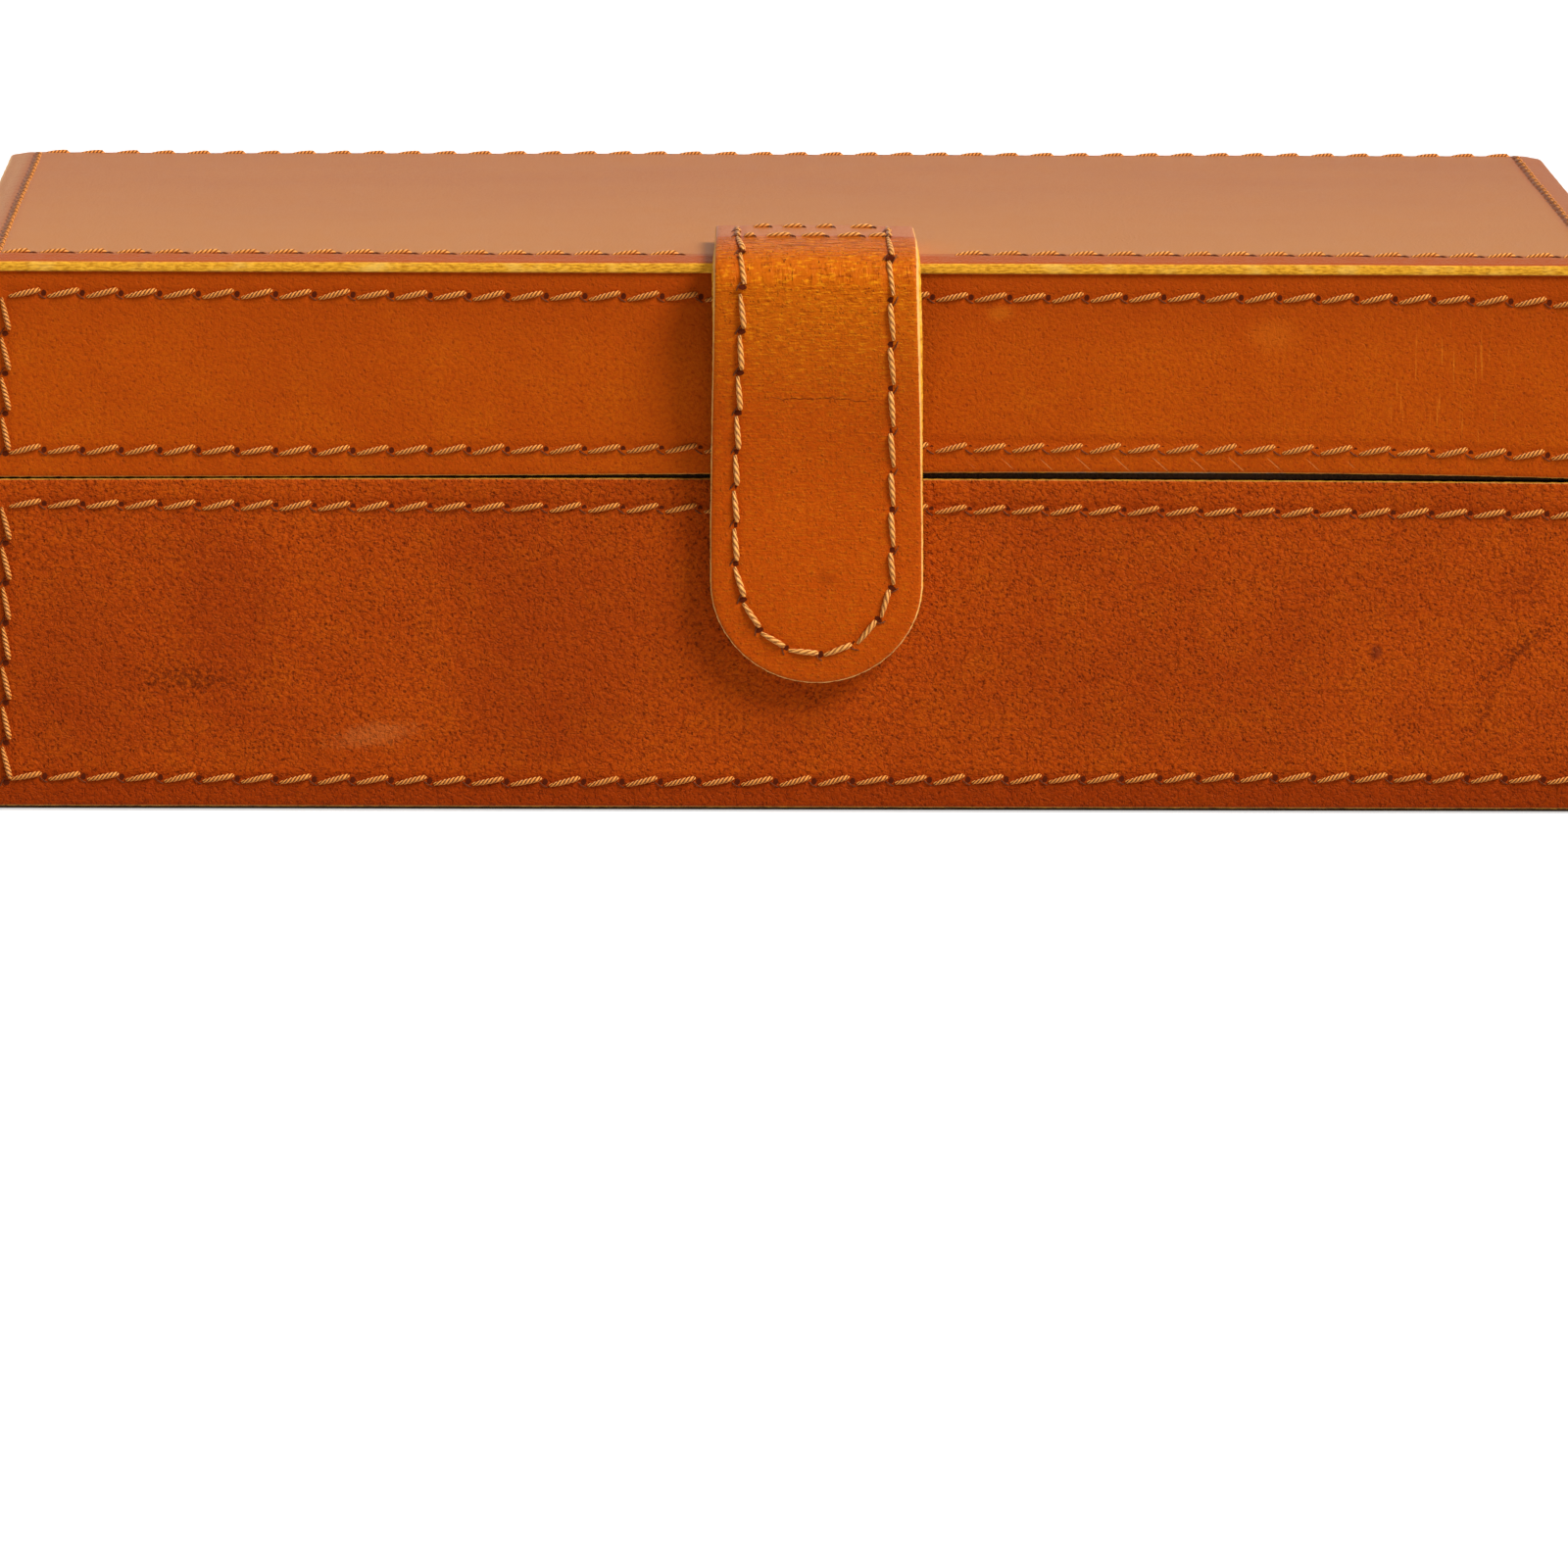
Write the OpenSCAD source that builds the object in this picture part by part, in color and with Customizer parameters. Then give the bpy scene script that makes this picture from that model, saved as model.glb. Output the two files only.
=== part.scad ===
// A leather-covered stationery box with a hinged lid and a closing strap, in millimetres.
// Origin at the centre of the underside, +Z up, +X to the right, the strap at the front (-Y).

/* [Box] */
// Width over the side leathers
box_w = 230; // [180:1:320]
// Depth over the front and back leathers
box_d = 168; // [120:1:240]
// Height of the base's wall leather
base_h = 45.6; // [36:0.1:120]
// Height of the lid's wall leather
lid_h = 28.7; // [20:0.1:60]
// Height of the wall leather's lower edge above the surface it stands on
foot_gap = 0.7; // [0:0.1:1.2]
// Gap between base and lid leathers when closed
parting_gap = 0.45; // [0.2:0.05:1.5]

/* [Leather] */
// Thickness of the panel leather
leather_t = 1.3; // [1:0.1:2]
// How far the lid's top leather stands over the wall leathers
top_overhang = 0.4; // [0:0.1:1.5]
// How far the field of the lid's top stands over its rim
crown_h = 0.9; // [0.3:0.1:1.5]
// Thickness of the sheet under the base
sole_t = 1.4; // [1.3:0.1:3]
// How far that sheet is set in from the wall leathers' outer faces
sole_inset = 3; // [2:0.5:6]

/* [Carcass] */
// Thickness of the wall boards
wall_board_t = 5; // [3:0.5:8]
// Thickness of the bottom board
bottom_board_t = 4; // [3:0.5:8]
// Thickness of the lid's roof board
roof_board_t = 4.4; // [3:0.1:8]
// Thickness of the lining
lining_t = 0.8; // [0.5:0.1:1.5]

/* [Hinge] */
// How far the free leather of the hinge reaches on each side of the parting
hinge_reach = 3; // [2:0.5:3.5]

/* [Strap] */
// Width of the strap
strap_w = 29.4; // [24:0.2:60]
// Distance of the strap's centre line from the middle of the box
strap_x = 2.8; // [-40:0.2:40]
// Thickness of the strap's outer layer
strap_outer_t = 1.4; // [1:0.1:2]
// Thickness of the strap's backing layer
strap_backing_t = 1.2; // [1.1:0.1:2]
// Length that lies on the lid, behind its front edge
anchor_len = 21; // [20:1:60]
// Inner radius of the bend over the front edge
bend_r = 3.4; // [2.5:0.1:6]
// How far the tongue's flat end stands off the front leather
tongue_gap = 1; // [0.9:0.1:2]
// Length of the tongue below the parting
tongue_drop = 27.7; // [24:0.1:34]
// Length of the tongue's round tip
tip_len = 14; // [8:0.1:14.5]

/* [Clasp] */
// Diameter of the disc magnet between the strap's layers
magnet_d = 14; // [8:1:16]
// Thickness of the magnet
magnet_t = 1.3; // [0.8:0.1:1.4]
// Depth of the magnet's pocket in the outer layer
magnet_sink = 0.5; // [0.3:0.1:0.6]
// Diameter of the steel keeper in the base's front board
keeper_d = 16; // [8:1:20]
// Thickness of the keeper
keeper_t = 1; // [0.5:0.1:2]
// Height of the clasp's centre below the top of the base leather
clasp_drop = 13.8; // [12:0.1:16]
// Clearance round a disc in its pocket
disc_play = 0.1; // [0.05:0.05:0.3]

/* [Stitching] */
// Distance from one stitch to the next
stitch_pitch = 5.3; // [4:0.1:7]
// Gap between the ends of neighbouring stitches
stitch_gap = 0.7; // [0.4:0.1:1.5]
// Width of the thread
thread_w = 1; // [0.6:0.1:1.2]
// Height that the thread stands proud of the leather
thread_h = 0.6; // [0.3:0.1:0.7]
// Distance of a row of stitches from its panel's edge
seam_margin = 4; // [3.5:0.1:6]
// Lean of each stitch out of the line of its row, in degrees
stitch_lean = 13; // [0:1:20]
// Distance of the strap's stitches from its edge
strap_margin = 4; // [3:0.1:6]
// Distance between the two cross rows through the strap's anchor
cross_gap = 13; // [8:0.5:14]

/* [Hidden] */
$fn = 64;
eps = 0.01;

// Heights, from the bottom up
base_top = foot_gap + base_h;
parting_z = base_top + parting_gap / 2;
lid_low = base_top + parting_gap;
lid_top = lid_low + lid_h;
roof_z = lid_top + leather_t;
field_z = roof_z + crown_h;
floor_z = sole_t + bottom_board_t + lining_t;
ceiling_z = lid_top - roof_board_t - lining_t;
base_rim_z = base_top - lining_t;
lid_rim_z = lid_low + lining_t;

// Half widths and half depths of the layers, from the leather's outer face inwards
out_x = box_w / 2;
out_y = box_d / 2;
board_x = out_x - leather_t;
board_y = out_y - leather_t;
inner_x = board_x - wall_board_t;
inner_y = board_y - wall_board_t;
room_x = inner_x - lining_t;
room_y = inner_y - lining_t;

// Strap: it bends down where the lid's top leather ends
strap_t = strap_outer_t + strap_backing_t;
edge_y = out_y + top_overhang;
tongue_top = field_z - bend_r;
bend_off = top_overhang + bend_r;
tip_z = base_top - tongue_drop;
settle_z = base_top - seam_margin + thread_w;
clasp_z = base_top - clasp_drop;
tongue_steps = 20;
tip_steps = 20;
bend_stitches = 2;
thread_lift = 0.06;

// Crown of the lid's top: where its slope begins and ends, and where the card under it does
slope_foot = 0.3;
slope_end = 3.3;
card_foot = top_overhang + leather_t;
card_end = card_foot + 2.2;

sole_tone = [0.45, 0.30, 0.18];
tan = [0.72, 0.36, 0.10];
bright_tan = [0.78, 0.42, 0.12];
thread_tone = [0.88, 0.64, 0.36];
suede_tone = [0.34, 0.24, 0.17];
board_tone = [0.74, 0.62, 0.45];
steel_tone = [0.70, 0.71, 0.73];

// A block from its lowest corner to its highest
module slab(low, high) translate(low) cube(high - low);

// The same piece on the other side of the box
module mirrored() mirror([1, 0, 0]) children();

// ---- Base carcass: five boards glued edge to face ----

module base_bottom_board()
    color(board_tone)
    slab([-inner_x, -inner_y, sole_t], [inner_x, inner_y, sole_t + bottom_board_t]);

// The front board has a shallow round pocket in its outer face for the steel keeper
module base_front_board()
    color(board_tone)
    difference() {
        slab([-board_x, -board_y, sole_t], [board_x, -inner_y, base_rim_z]);
        translate([strap_x, -board_y + keeper_t, clasp_z])
            rotate([90, 0, 0])
            cylinder(d = keeper_d + 2 * disc_play, h = keeper_t + eps);
    }

module base_back_board()
    color(board_tone)
    slab([-board_x, inner_y, sole_t], [board_x, board_y, base_rim_z]);

module base_left_board()
    color(board_tone)
    slab([-board_x, -inner_y, sole_t], [-inner_x, inner_y, base_rim_z]);

module base_right_board() mirrored() base_left_board();

module keeper_disc()
    color(steel_tone)
    translate([strap_x, -board_y + keeper_t, clasp_z])
    rotate([90, 0, 0])
    cylinder(d = keeper_d, h = keeper_t);

// ---- Base leathers ----

module base_sole()
    color(sole_tone)
    slab([-out_x + sole_inset, -out_y + sole_inset, 0], [out_x - sole_inset, out_y - sole_inset, sole_t]);

module base_front_leather()
    color(tan)
    slab([-board_x, -out_y, foot_gap], [board_x, -board_y, base_top]);

// The back leather covers the ends of the side leathers, and is cut off where the hinge begins
module base_back_leather()
    color(tan)
    slab([-out_x, board_y, foot_gap], [out_x, out_y, parting_z - hinge_reach]);

module base_left_leather()
    color(tan)
    slab([-out_x, -out_y, foot_gap], [-board_x, board_y, base_top]);

module base_right_leather() mirrored() base_left_leather();

// ---- Base lining: a floor sheet and wall sheets turned over the rim ----

module base_floor_lining()
    color(suede_tone)
    slab([-inner_x, -inner_y, floor_z - lining_t], [inner_x, inner_y, floor_z]);

module base_front_lining()
    color(suede_tone) {
        slab([-inner_x, -inner_y, floor_z], [inner_x, -room_y, base_top]);
        slab([-board_x, -board_y, base_rim_z], [board_x, -room_y, base_top]);
    }

module base_back_lining() mirror([0, 1, 0]) base_front_lining();

module base_left_lining()
    color(suede_tone) {
        slab([-inner_x, -room_y, floor_z], [-room_x, room_y, base_top]);
        slab([-board_x, -room_y, base_rim_z], [-room_x, room_y, base_top]);
    }

module base_right_lining() mirrored() base_left_lining();

// ---- Lid carcass ----

module lid_roof_board()
    color(board_tone)
    slab([-inner_x, -inner_y, lid_top - roof_board_t], [inner_x, inner_y, lid_top]);

module lid_front_board()
    color(board_tone)
    slab([-board_x, -board_y, lid_rim_z], [board_x, -inner_y, lid_top]);

module lid_back_board() mirror([0, 1, 0]) lid_front_board();

module lid_left_board()
    color(board_tone)
    slab([-board_x, -inner_y, lid_rim_z], [-inner_x, inner_y, lid_top]);

module lid_right_board() mirrored() lid_left_board();

// A low block over the lid with sloping sides, each end a distance in from the top leather's edges
module crown(foot, low, end, high)
    hull() {
        lid_sheet(foot, low, low + eps);
        lid_sheet(end, high - eps, high);
    }

// A flat sheet over the lid, a distance in from the top leather's edges
module lid_sheet(inset, low, high)
    slab([-out_x - top_overhang + inset, -edge_y + inset, low],
         [out_x + top_overhang - inset, edge_y - inset, high]);

// A thin card with bevelled edges, glued over the boards, fills out the top leather's field
module lid_crown_card()
    color(board_tone)
    crown(card_foot, lid_top, card_end, lid_top + crown_h);

// ---- Lid leathers ----

// The top leather lies over the card, and slopes down round it to its rim
module lid_top_leather()
    color(tan)
    difference() {
        union() {
            lid_sheet(0, lid_top, roof_z);
            crown(slope_foot, roof_z - eps, slope_end, field_z);
        }
        crown(card_foot, lid_top, card_end, lid_top + crown_h);
        lid_sheet(card_foot, lid_top - eps, lid_top + eps / 2);
    }

module lid_front_leather()
    color(tan)
    slab([-board_x, -out_y, lid_low], [board_x, -board_y, lid_top]);

module lid_back_leather()
    color(tan)
    slab([-out_x, board_y, parting_z + hinge_reach], [out_x, out_y, lid_top]);

module lid_left_leather()
    color(tan)
    slab([-out_x, -out_y, lid_low], [-board_x, board_y, lid_top]);

module lid_right_leather() mirrored() lid_left_leather();

// The stretch of the back leather that flexes when the lid opens
module hinge_leather()
    color(tan)
    slab([-out_x, board_y, parting_z - hinge_reach], [out_x, out_y, parting_z + hinge_reach]);

// ---- Lid lining ----

module lid_roof_lining()
    color(suede_tone)
    slab([-inner_x, -inner_y, ceiling_z], [inner_x, inner_y, ceiling_z + lining_t]);

module lid_front_lining()
    color(suede_tone) {
        slab([-inner_x, -inner_y, lid_low], [inner_x, -room_y, ceiling_z]);
        slab([-board_x, -board_y, lid_low], [board_x, -room_y, lid_rim_z]);
    }

module lid_back_lining() mirror([0, 1, 0]) lid_front_lining();

module lid_left_lining()
    color(suede_tone) {
        slab([-inner_x, -room_y, lid_low], [-room_x, room_y, ceiling_z]);
        slab([-board_x, -room_y, lid_low], [-room_x, room_y, lid_rim_z]);
    }

module lid_right_lining() mirrored() lid_left_lining();

// ---- Stitching: each stitch is a low bar with ramped ends, lying flat on the leather ----

// One stitch along X, its foot on z = 0
module stitch(pitch) {
    half = (pitch - stitch_gap) / 2;
    rotate([0, 0, stitch_lean])
        translate([0, thread_w / 2, 0])
        rotate([90, 0, 0])
        linear_extrude(thread_w)
        polygon([[-half, 0], [half, 0], [half - thread_h, thread_h], [-half + thread_h, thread_h]]);
}

// How many stitches fill a length, and the pitch that spreads them evenly
function stitch_count(length) = max(1, round(length / stitch_pitch));
function even_pitch(length) = length / stitch_count(length);

// A row of stitches along X, centred; those whose centres lie from skip_from to skip_to are left out
module stitch_row(length, skip_from = 1, skip_to = -1) {
    pitch = even_pitch(length);
    for (i = [0 : stitch_count(length) - 1]) {
        x = (i + 0.5) * pitch - length / 2;
        if (x < skip_from || x > skip_to)
            translate([x, 0, 0]) stitch(pitch);
    }
}

// A closed loop of stitches, a margin inside a w by h panel that is centred on the origin in XY
module stitch_loop(w, h) {
    row_w = w - 2 * seam_margin;
    row_h = h - 2 * seam_margin;
    for (side = [-1, 1]) {
        translate([0, side * row_h / 2, 0]) stitch_row(row_w);
        translate([side * row_w / 2, 0, 0]) rotate([0, 0, 90]) stitch_row(row_h);
    }
}

// Places a loop drawn in XY on a standing panel, between two heights, facing out of that side
module on_front(low, high) translate([0, -out_y, (low + high) / 2]) rotate([90, 0, 0]) children();
module on_back(low, high) rotate([0, 0, 180]) on_front(low, high) children();
module on_left(low, high) translate([-out_x, 0, (low + high) / 2]) rotate([90, 0, -90]) children();
module on_right(low, high) rotate([0, 0, 180]) on_left(low, high) children();

module base_front_thread() color(thread_tone) on_front(foot_gap, base_top) stitch_loop(box_w, base_h);
module base_back_thread() color(thread_tone) on_back(foot_gap, base_top) stitch_loop(box_w, base_h);
module base_left_thread() color(thread_tone) on_left(foot_gap, base_top) stitch_loop(box_d, base_h);
module base_right_thread() color(thread_tone) on_right(foot_gap, base_top) stitch_loop(box_d, base_h);

module lid_front_thread() color(thread_tone) on_front(lid_low, lid_top) stitch_loop(box_w, lid_h);
module lid_back_thread() color(thread_tone) on_back(lid_low, lid_top) stitch_loop(box_w, lid_h);
module lid_left_thread() color(thread_tone) on_left(lid_low, lid_top) stitch_loop(box_d, lid_h);
module lid_right_thread() color(thread_tone) on_right(lid_low, lid_top) stitch_loop(box_d, lid_h);

// The lid's top: the front row leaves out the stitches that the strap's anchor lies on
module lid_top_thread() {
    row_w = box_w - 2 * seam_margin;
    row_d = box_d - 2 * seam_margin;
    clear = strap_w / 2 + stitch_pitch / 2;
    color(thread_tone)
        translate([0, 0, field_z]) {
            translate([0, -row_d / 2, 0]) stitch_row(row_w, strap_x - clear, strap_x + clear);
            translate([0, row_d / 2, 0]) stitch_row(row_w);
            for (side = [-1, 1])
                translate([side * row_w / 2, 0, 0]) rotate([0, 0, 90]) stitch_row(row_d);
        }
}

// ---- Strap ----

// Distance of the tongue's inner face from the front leather at height z: it eases in from the bend
function tongue_off(z) =
    z <= settle_z ? tongue_gap :
    tongue_gap + (bend_off - tongue_gap) * (1 - cos(180 * (z - settle_z) / (tongue_top - settle_z))) / 2;

// Slope of that face, in degrees from the vertical
function tongue_slope(z) =
    atan((tongue_off(z + eps) - tongue_off(z - eps)) / (2 * eps));

// Heights at which the tongue's curved stretch is cut into flat facets
function tongue_z(i) = settle_z + (tongue_top - settle_z) * i / tongue_steps;

// A point of the tongue's face in (y, z), a distance d out from its inner face
function tongue_point(i, d) = [-out_y - tongue_off(tongue_z(i)) - d, tongue_z(i)];

// The tongue's side view, drawn in (y, z) between two distances from its inner face, as wide as the strap
module tongue_layer(from, to)
    translate([strap_x - strap_w / 2, 0, 0])
    rotate([90, 0, 90])
    linear_extrude(strap_w)
    polygon(concat(
        [[-out_y - tongue_gap - from, tip_z], [-out_y - tongue_gap - to, tip_z]],
        [for (i = [0 : tongue_steps]) tongue_point(i, to)],
        [for (i = [tongue_steps : -1 : 0]) tongue_point(i, from)]
    ));

// A point of the round tip, in (x, z), a margin inside the strap's edge
function tip_point(angle, margin) = [
    strap_x + (strap_w / 2 - margin) * cos(angle),
    tip_z + tip_len - (tip_len - margin) * sin(angle)
];

// The tongue's front view: straight sides and a round tip, as a block through the whole strap
module tongue_outline()
    translate([0, -out_y, 0])
    rotate([90, 0, 0])
    linear_extrude(bend_off + 2 * strap_t)
    polygon(concat(
        [[strap_x - strap_w / 2, field_z], [strap_x + strap_w / 2, field_z]],
        [for (i = [0 : tip_steps]) tip_point(180 * i / tip_steps, 0)]
    ));

// The round space for the magnet: it reaches from the flesh side of the backing into the outer layer
module magnet_space(play)
    translate([strap_x, -out_y - tongue_gap - strap_backing_t - magnet_sink + magnet_t + play, clasp_z])
    rotate([90, 0, 0])
    cylinder(d = magnet_d + 2 * play, h = magnet_t + play);

module strap_tongue()
    color(bright_tan)
    difference() {
        intersection() {
            tongue_layer(strap_backing_t, strap_t);
            tongue_outline();
        }
        magnet_space(disc_play);
    }

module strap_tongue_backing()
    color(tan)
    difference() {
        intersection() {
            tongue_layer(0, strap_backing_t);
            tongue_outline();
        }
        magnet_space(disc_play);
    }

module strap_magnet() color(steel_tone) magnet_space(0);

// A quarter ring over the lid's front edge, between two distances from its inner face
module bend_layer(from, to)
    translate([strap_x - strap_w / 2, -edge_y, tongue_top])
    rotate([90, 0, 90])
    intersection() {
        difference() {
            cylinder(r = bend_r + to, h = strap_w);
            translate([0, 0, -eps]) cylinder(r = bend_r + from, h = strap_w + 2 * eps);
        }
        translate([-bend_r - 2 * strap_t, 0, 0]) cube([bend_r + 2 * strap_t, bend_r + 2 * strap_t, strap_w]);
    }

module strap_bend() color(bright_tan) bend_layer(strap_backing_t, strap_t);
module strap_bend_backing() color(tan) bend_layer(0, strap_backing_t);

module anchor_layer(from, to)
    slab([strap_x - strap_w / 2, -edge_y, field_z + from],
         [strap_x + strap_w / 2, -edge_y + anchor_len, field_z + to]);

module strap_anchor() color(bright_tan) anchor_layer(strap_backing_t, strap_t);
module strap_anchor_backing() color(tan) anchor_layer(0, strap_backing_t);

// The anchor's stitches: two cross rows and the two side rows that run on over the bend
module strap_anchor_thread() {
    row_w = strap_w - 2 * strap_margin;
    back_row = anchor_len - strap_margin;
    front_row = max(back_row - cross_gap, 3);
    side_gap = back_row - front_row;
    color(thread_tone)
        translate([strap_x, -edge_y, field_z + strap_t]) {
            for (y = [front_row, back_row])
                translate([0, y, 0]) stitch_row(row_w);
            for (side = [-1, 1])
                translate([side * row_w / 2, 0, 0])
                    rotate([0, 0, 90]) {
                        translate([front_row / 2, 0, 0]) stitch_row(front_row);
                        translate([front_row + side_gap / 2, 0, 0]) stitch_row(side_gap);
                    }
        }
}

module strap_bend_thread()
    color(thread_tone)
    for (side = [-1, 1], i = [0 : bend_stitches - 1])
        translate([strap_x + side * (strap_w / 2 - strap_margin), -edge_y, tongue_top])
        rotate([90 * (i + 0.5) / bend_stitches, 0, 0])
        translate([0, 0, bend_r + strap_t + thread_lift])
        rotate([0, 0, 90])
        stitch(stitch_pitch);

// The tongue's stitches: a column down each side, and a row round the tip
module strap_tongue_thread() {
    column = tongue_top - tip_z - tip_len;
    pitch = even_pitch(column);
    half_w = strap_w / 2 - strap_margin;
    half_l = tip_len - strap_margin;
    tip_row = 180 * (half_w + half_l) / 2 * PI / 180;
    tip_pitch = even_pitch(tip_row);
    color(thread_tone) {
        for (side = [-1, 1], i = [0 : stitch_count(column) - 1]) {
            z = tongue_top - (i + 0.5) * pitch;
            translate([strap_x + side * half_w, -out_y - tongue_off(z) - strap_t - thread_lift, z])
                rotate([90 + tongue_slope(z), 0, 0])
                rotate([0, 0, 90])
                stitch(pitch);
        }
        for (i = [0 : stitch_count(tip_row) - 1]) {
            angle = 180 * (i + 0.5) / stitch_count(tip_row);
            spot = tip_point(angle, strap_margin);
            translate([spot[0], -out_y - tongue_gap - strap_t - thread_lift, spot[1]])
                rotate([90, 0, 0])
                rotate([0, 0, atan2(-half_l * cos(angle), -half_w * sin(angle))])
                stitch(tip_pitch);
        }
    }
}

base_bottom_board();
base_front_board();
base_back_board();
base_left_board();
base_right_board();
base_sole();
base_front_leather();
base_back_leather();
base_left_leather();
base_right_leather();
base_floor_lining();
base_front_lining();
base_back_lining();
base_left_lining();
base_right_lining();
keeper_disc();
base_front_thread();
base_back_thread();
base_left_thread();
base_right_thread();
lid_roof_board();
lid_front_board();
lid_back_board();
lid_left_board();
lid_right_board();
lid_crown_card();
lid_top_leather();
lid_front_leather();
lid_back_leather();
lid_left_leather();
lid_right_leather();
lid_roof_lining();
lid_front_lining();
lid_back_lining();
lid_left_lining();
lid_right_lining();
lid_top_thread();
lid_front_thread();
lid_back_thread();
lid_left_thread();
lid_right_thread();
hinge_leather();
strap_anchor();
strap_anchor_backing();
strap_anchor_thread();
strap_bend();
strap_bend_backing();
strap_bend_thread();
strap_tongue();
strap_tongue_backing();
strap_magnet();
strap_tongue_thread();
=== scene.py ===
"""A stationery box covered in tan leather, with a hinged lid and a leather closing strap."""

import math

import bpy
import numpy as np
from mathutils import Matrix, Vector


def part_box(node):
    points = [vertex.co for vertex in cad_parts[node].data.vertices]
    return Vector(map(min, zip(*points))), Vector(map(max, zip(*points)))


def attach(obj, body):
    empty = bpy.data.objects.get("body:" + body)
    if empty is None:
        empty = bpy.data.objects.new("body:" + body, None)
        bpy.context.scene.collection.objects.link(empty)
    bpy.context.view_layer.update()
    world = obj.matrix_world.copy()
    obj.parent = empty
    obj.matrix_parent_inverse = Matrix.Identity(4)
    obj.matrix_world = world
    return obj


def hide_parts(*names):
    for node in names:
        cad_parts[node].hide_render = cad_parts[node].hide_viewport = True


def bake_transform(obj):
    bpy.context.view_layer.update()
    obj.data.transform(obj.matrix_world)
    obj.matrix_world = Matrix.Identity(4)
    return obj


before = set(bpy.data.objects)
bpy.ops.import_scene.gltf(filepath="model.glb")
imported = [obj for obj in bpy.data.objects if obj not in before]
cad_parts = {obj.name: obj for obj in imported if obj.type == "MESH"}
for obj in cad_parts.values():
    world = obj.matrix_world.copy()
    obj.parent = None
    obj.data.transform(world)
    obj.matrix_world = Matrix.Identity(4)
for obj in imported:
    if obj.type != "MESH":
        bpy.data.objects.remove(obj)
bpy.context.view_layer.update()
scene = bpy.context.scene
MM = 0.001

# ---- The view ----
# The box is seen from nearly two metres away through a long lens, from slightly above its lid
# and a little left of the strap. It stands on a plain white floor that rises behind it.

view_place = Vector((-0.03597, -1.95317, 0.25438))
view_turn = math.radians(1.0549)
view_dip = math.radians(7.6279)
view_roll = math.radians(0.2735)
view_lens = 311.07

ahead = Vector((
    math.sin(view_turn) * math.cos(view_dip),
    math.cos(view_turn) * math.cos(view_dip),
    -math.sin(view_dip),
))
level = Vector((math.cos(view_turn), -math.sin(view_turn), 0))
upright = level.cross(ahead)
view_right = math.cos(view_roll) * level + math.sin(view_roll) * upright
view_up = math.cos(view_roll) * upright - math.sin(view_roll) * level

camera = bpy.data.objects.new("view", bpy.data.cameras.new("view"))
camera.data.lens = view_lens
turned = Matrix((view_right, view_up, -ahead)).transposed().to_4x4()
camera.matrix_world = Matrix.Translation(view_place) @ turned
scene.collection.objects.link(camera)
scene.camera = camera
scene.view_settings.view_transform = "Standard"


def put(tree, kind, feeds=None, **settings):
    """Adds a node to a tree and fills its inputs, each with a value or a link."""
    made = tree.nodes.new(kind)
    for name, value in settings.items():
        setattr(made, name, value)
    for key, value in (feeds or {}).items():
        if isinstance(value, bpy.types.NodeSocket):
            tree.links.new(value, made.inputs[key])
        else:
            made.inputs[key].default_value = value
    return made


def maths(tree, operation, *terms):
    """The result of one sum in a tree, of values and sockets."""
    kind = "ShaderNodeMath"
    return put(tree, kind, dict(enumerate(terms)), operation=operation).outputs[0]


def new_material(name):
    """A material with only its output, and its tree."""
    made = bpy.data.materials.new(name)
    made.use_nodes = True
    made.node_tree.nodes.clear()
    return made, made.node_tree


def finish_material(tree, feeds):
    """Ends a material in one Principled surface with the given inputs, which it returns."""
    surface = put(tree, "ShaderNodeBsdfPrincipled", feeds)
    put(tree, "ShaderNodeOutputMaterial", {"Surface": surface.outputs[0]})
    return surface


def floor_sweep():
    """The floor and the wall behind, as one sheet that curves from one to the other."""
    half_width = 6.0
    front = -4.0
    wall = 4.5
    turn_radius = 1.5
    wall_top = 5.0
    turn = [math.radians(angle) for angle in range(0, 91, 6)]
    profile = [(front, 0)]
    profile += [
        (wall - turn_radius + turn_radius * math.sin(a), turn_radius - turn_radius * math.cos(a))
        for a in turn
    ]
    profile.append((wall, wall_top))
    corners = [(side * half_width, y, z) for y, z in profile for side in (-1, 1)]
    faces = [(i, i + 1, i + 3, i + 2) for i in range(0, len(corners) - 2, 2)]
    mesh = bpy.data.meshes.new("floor")
    mesh.from_pydata(corners, [], faces)
    mesh.shade_smooth()
    made = bpy.data.objects.new("floor", mesh)
    scene.collection.objects.link(made)
    return made


floor = floor_sweep()
floor_paint, tree = new_material("floor_paint")
unevenness = put(tree, "ShaderNodeTexNoise", {"Scale": 3.0, "Detail": 2.0})
seen = put(tree, "ShaderNodeLightPath").outputs["Is Camera Ray"]
finish_material(tree, {
    "Base Color": (0.5, 0.5, 0.5, 1),
    "Roughness": maths(tree, "MULTIPLY_ADD", unevenness.outputs["Fac"], 0.1, 0.8),
    "Specular IOR Level": 0.1,
    "Emission Color": (1, 1, 1, 1),
    "Emission Strength": maths(tree, "MULTIPLY_ADD", seen, 0.45, 0.2),
})
floor.data.materials.append(floor_paint)

scene.world = bpy.data.worlds.new("studio")
scene.world.use_nodes = True
room_light = scene.world.node_tree.nodes["Background"].inputs
room_light["Color"].default_value = (1, 1, 1, 1)
room_light["Strength"].default_value = 0.33
window = bpy.data.lights.new("window", "SUN")
window.energy = 3.65
window.angle = math.radians(25)
window_lamp = bpy.data.objects.new("window", window)
window_ray = Vector((-0.60, 0.38, -0.70))
window_lamp.rotation_euler = window_ray.to_track_quat("-Z", "Y").to_euler()
scene.collection.objects.link(window_lamp)

# ---- The carcass ----
# Two trays glued up from grey-brown board: the base and the lid. All of it is covered, apart from
# the board's lower edge round the sheet under the base. It is pressed from mixed paper fibre.


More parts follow.
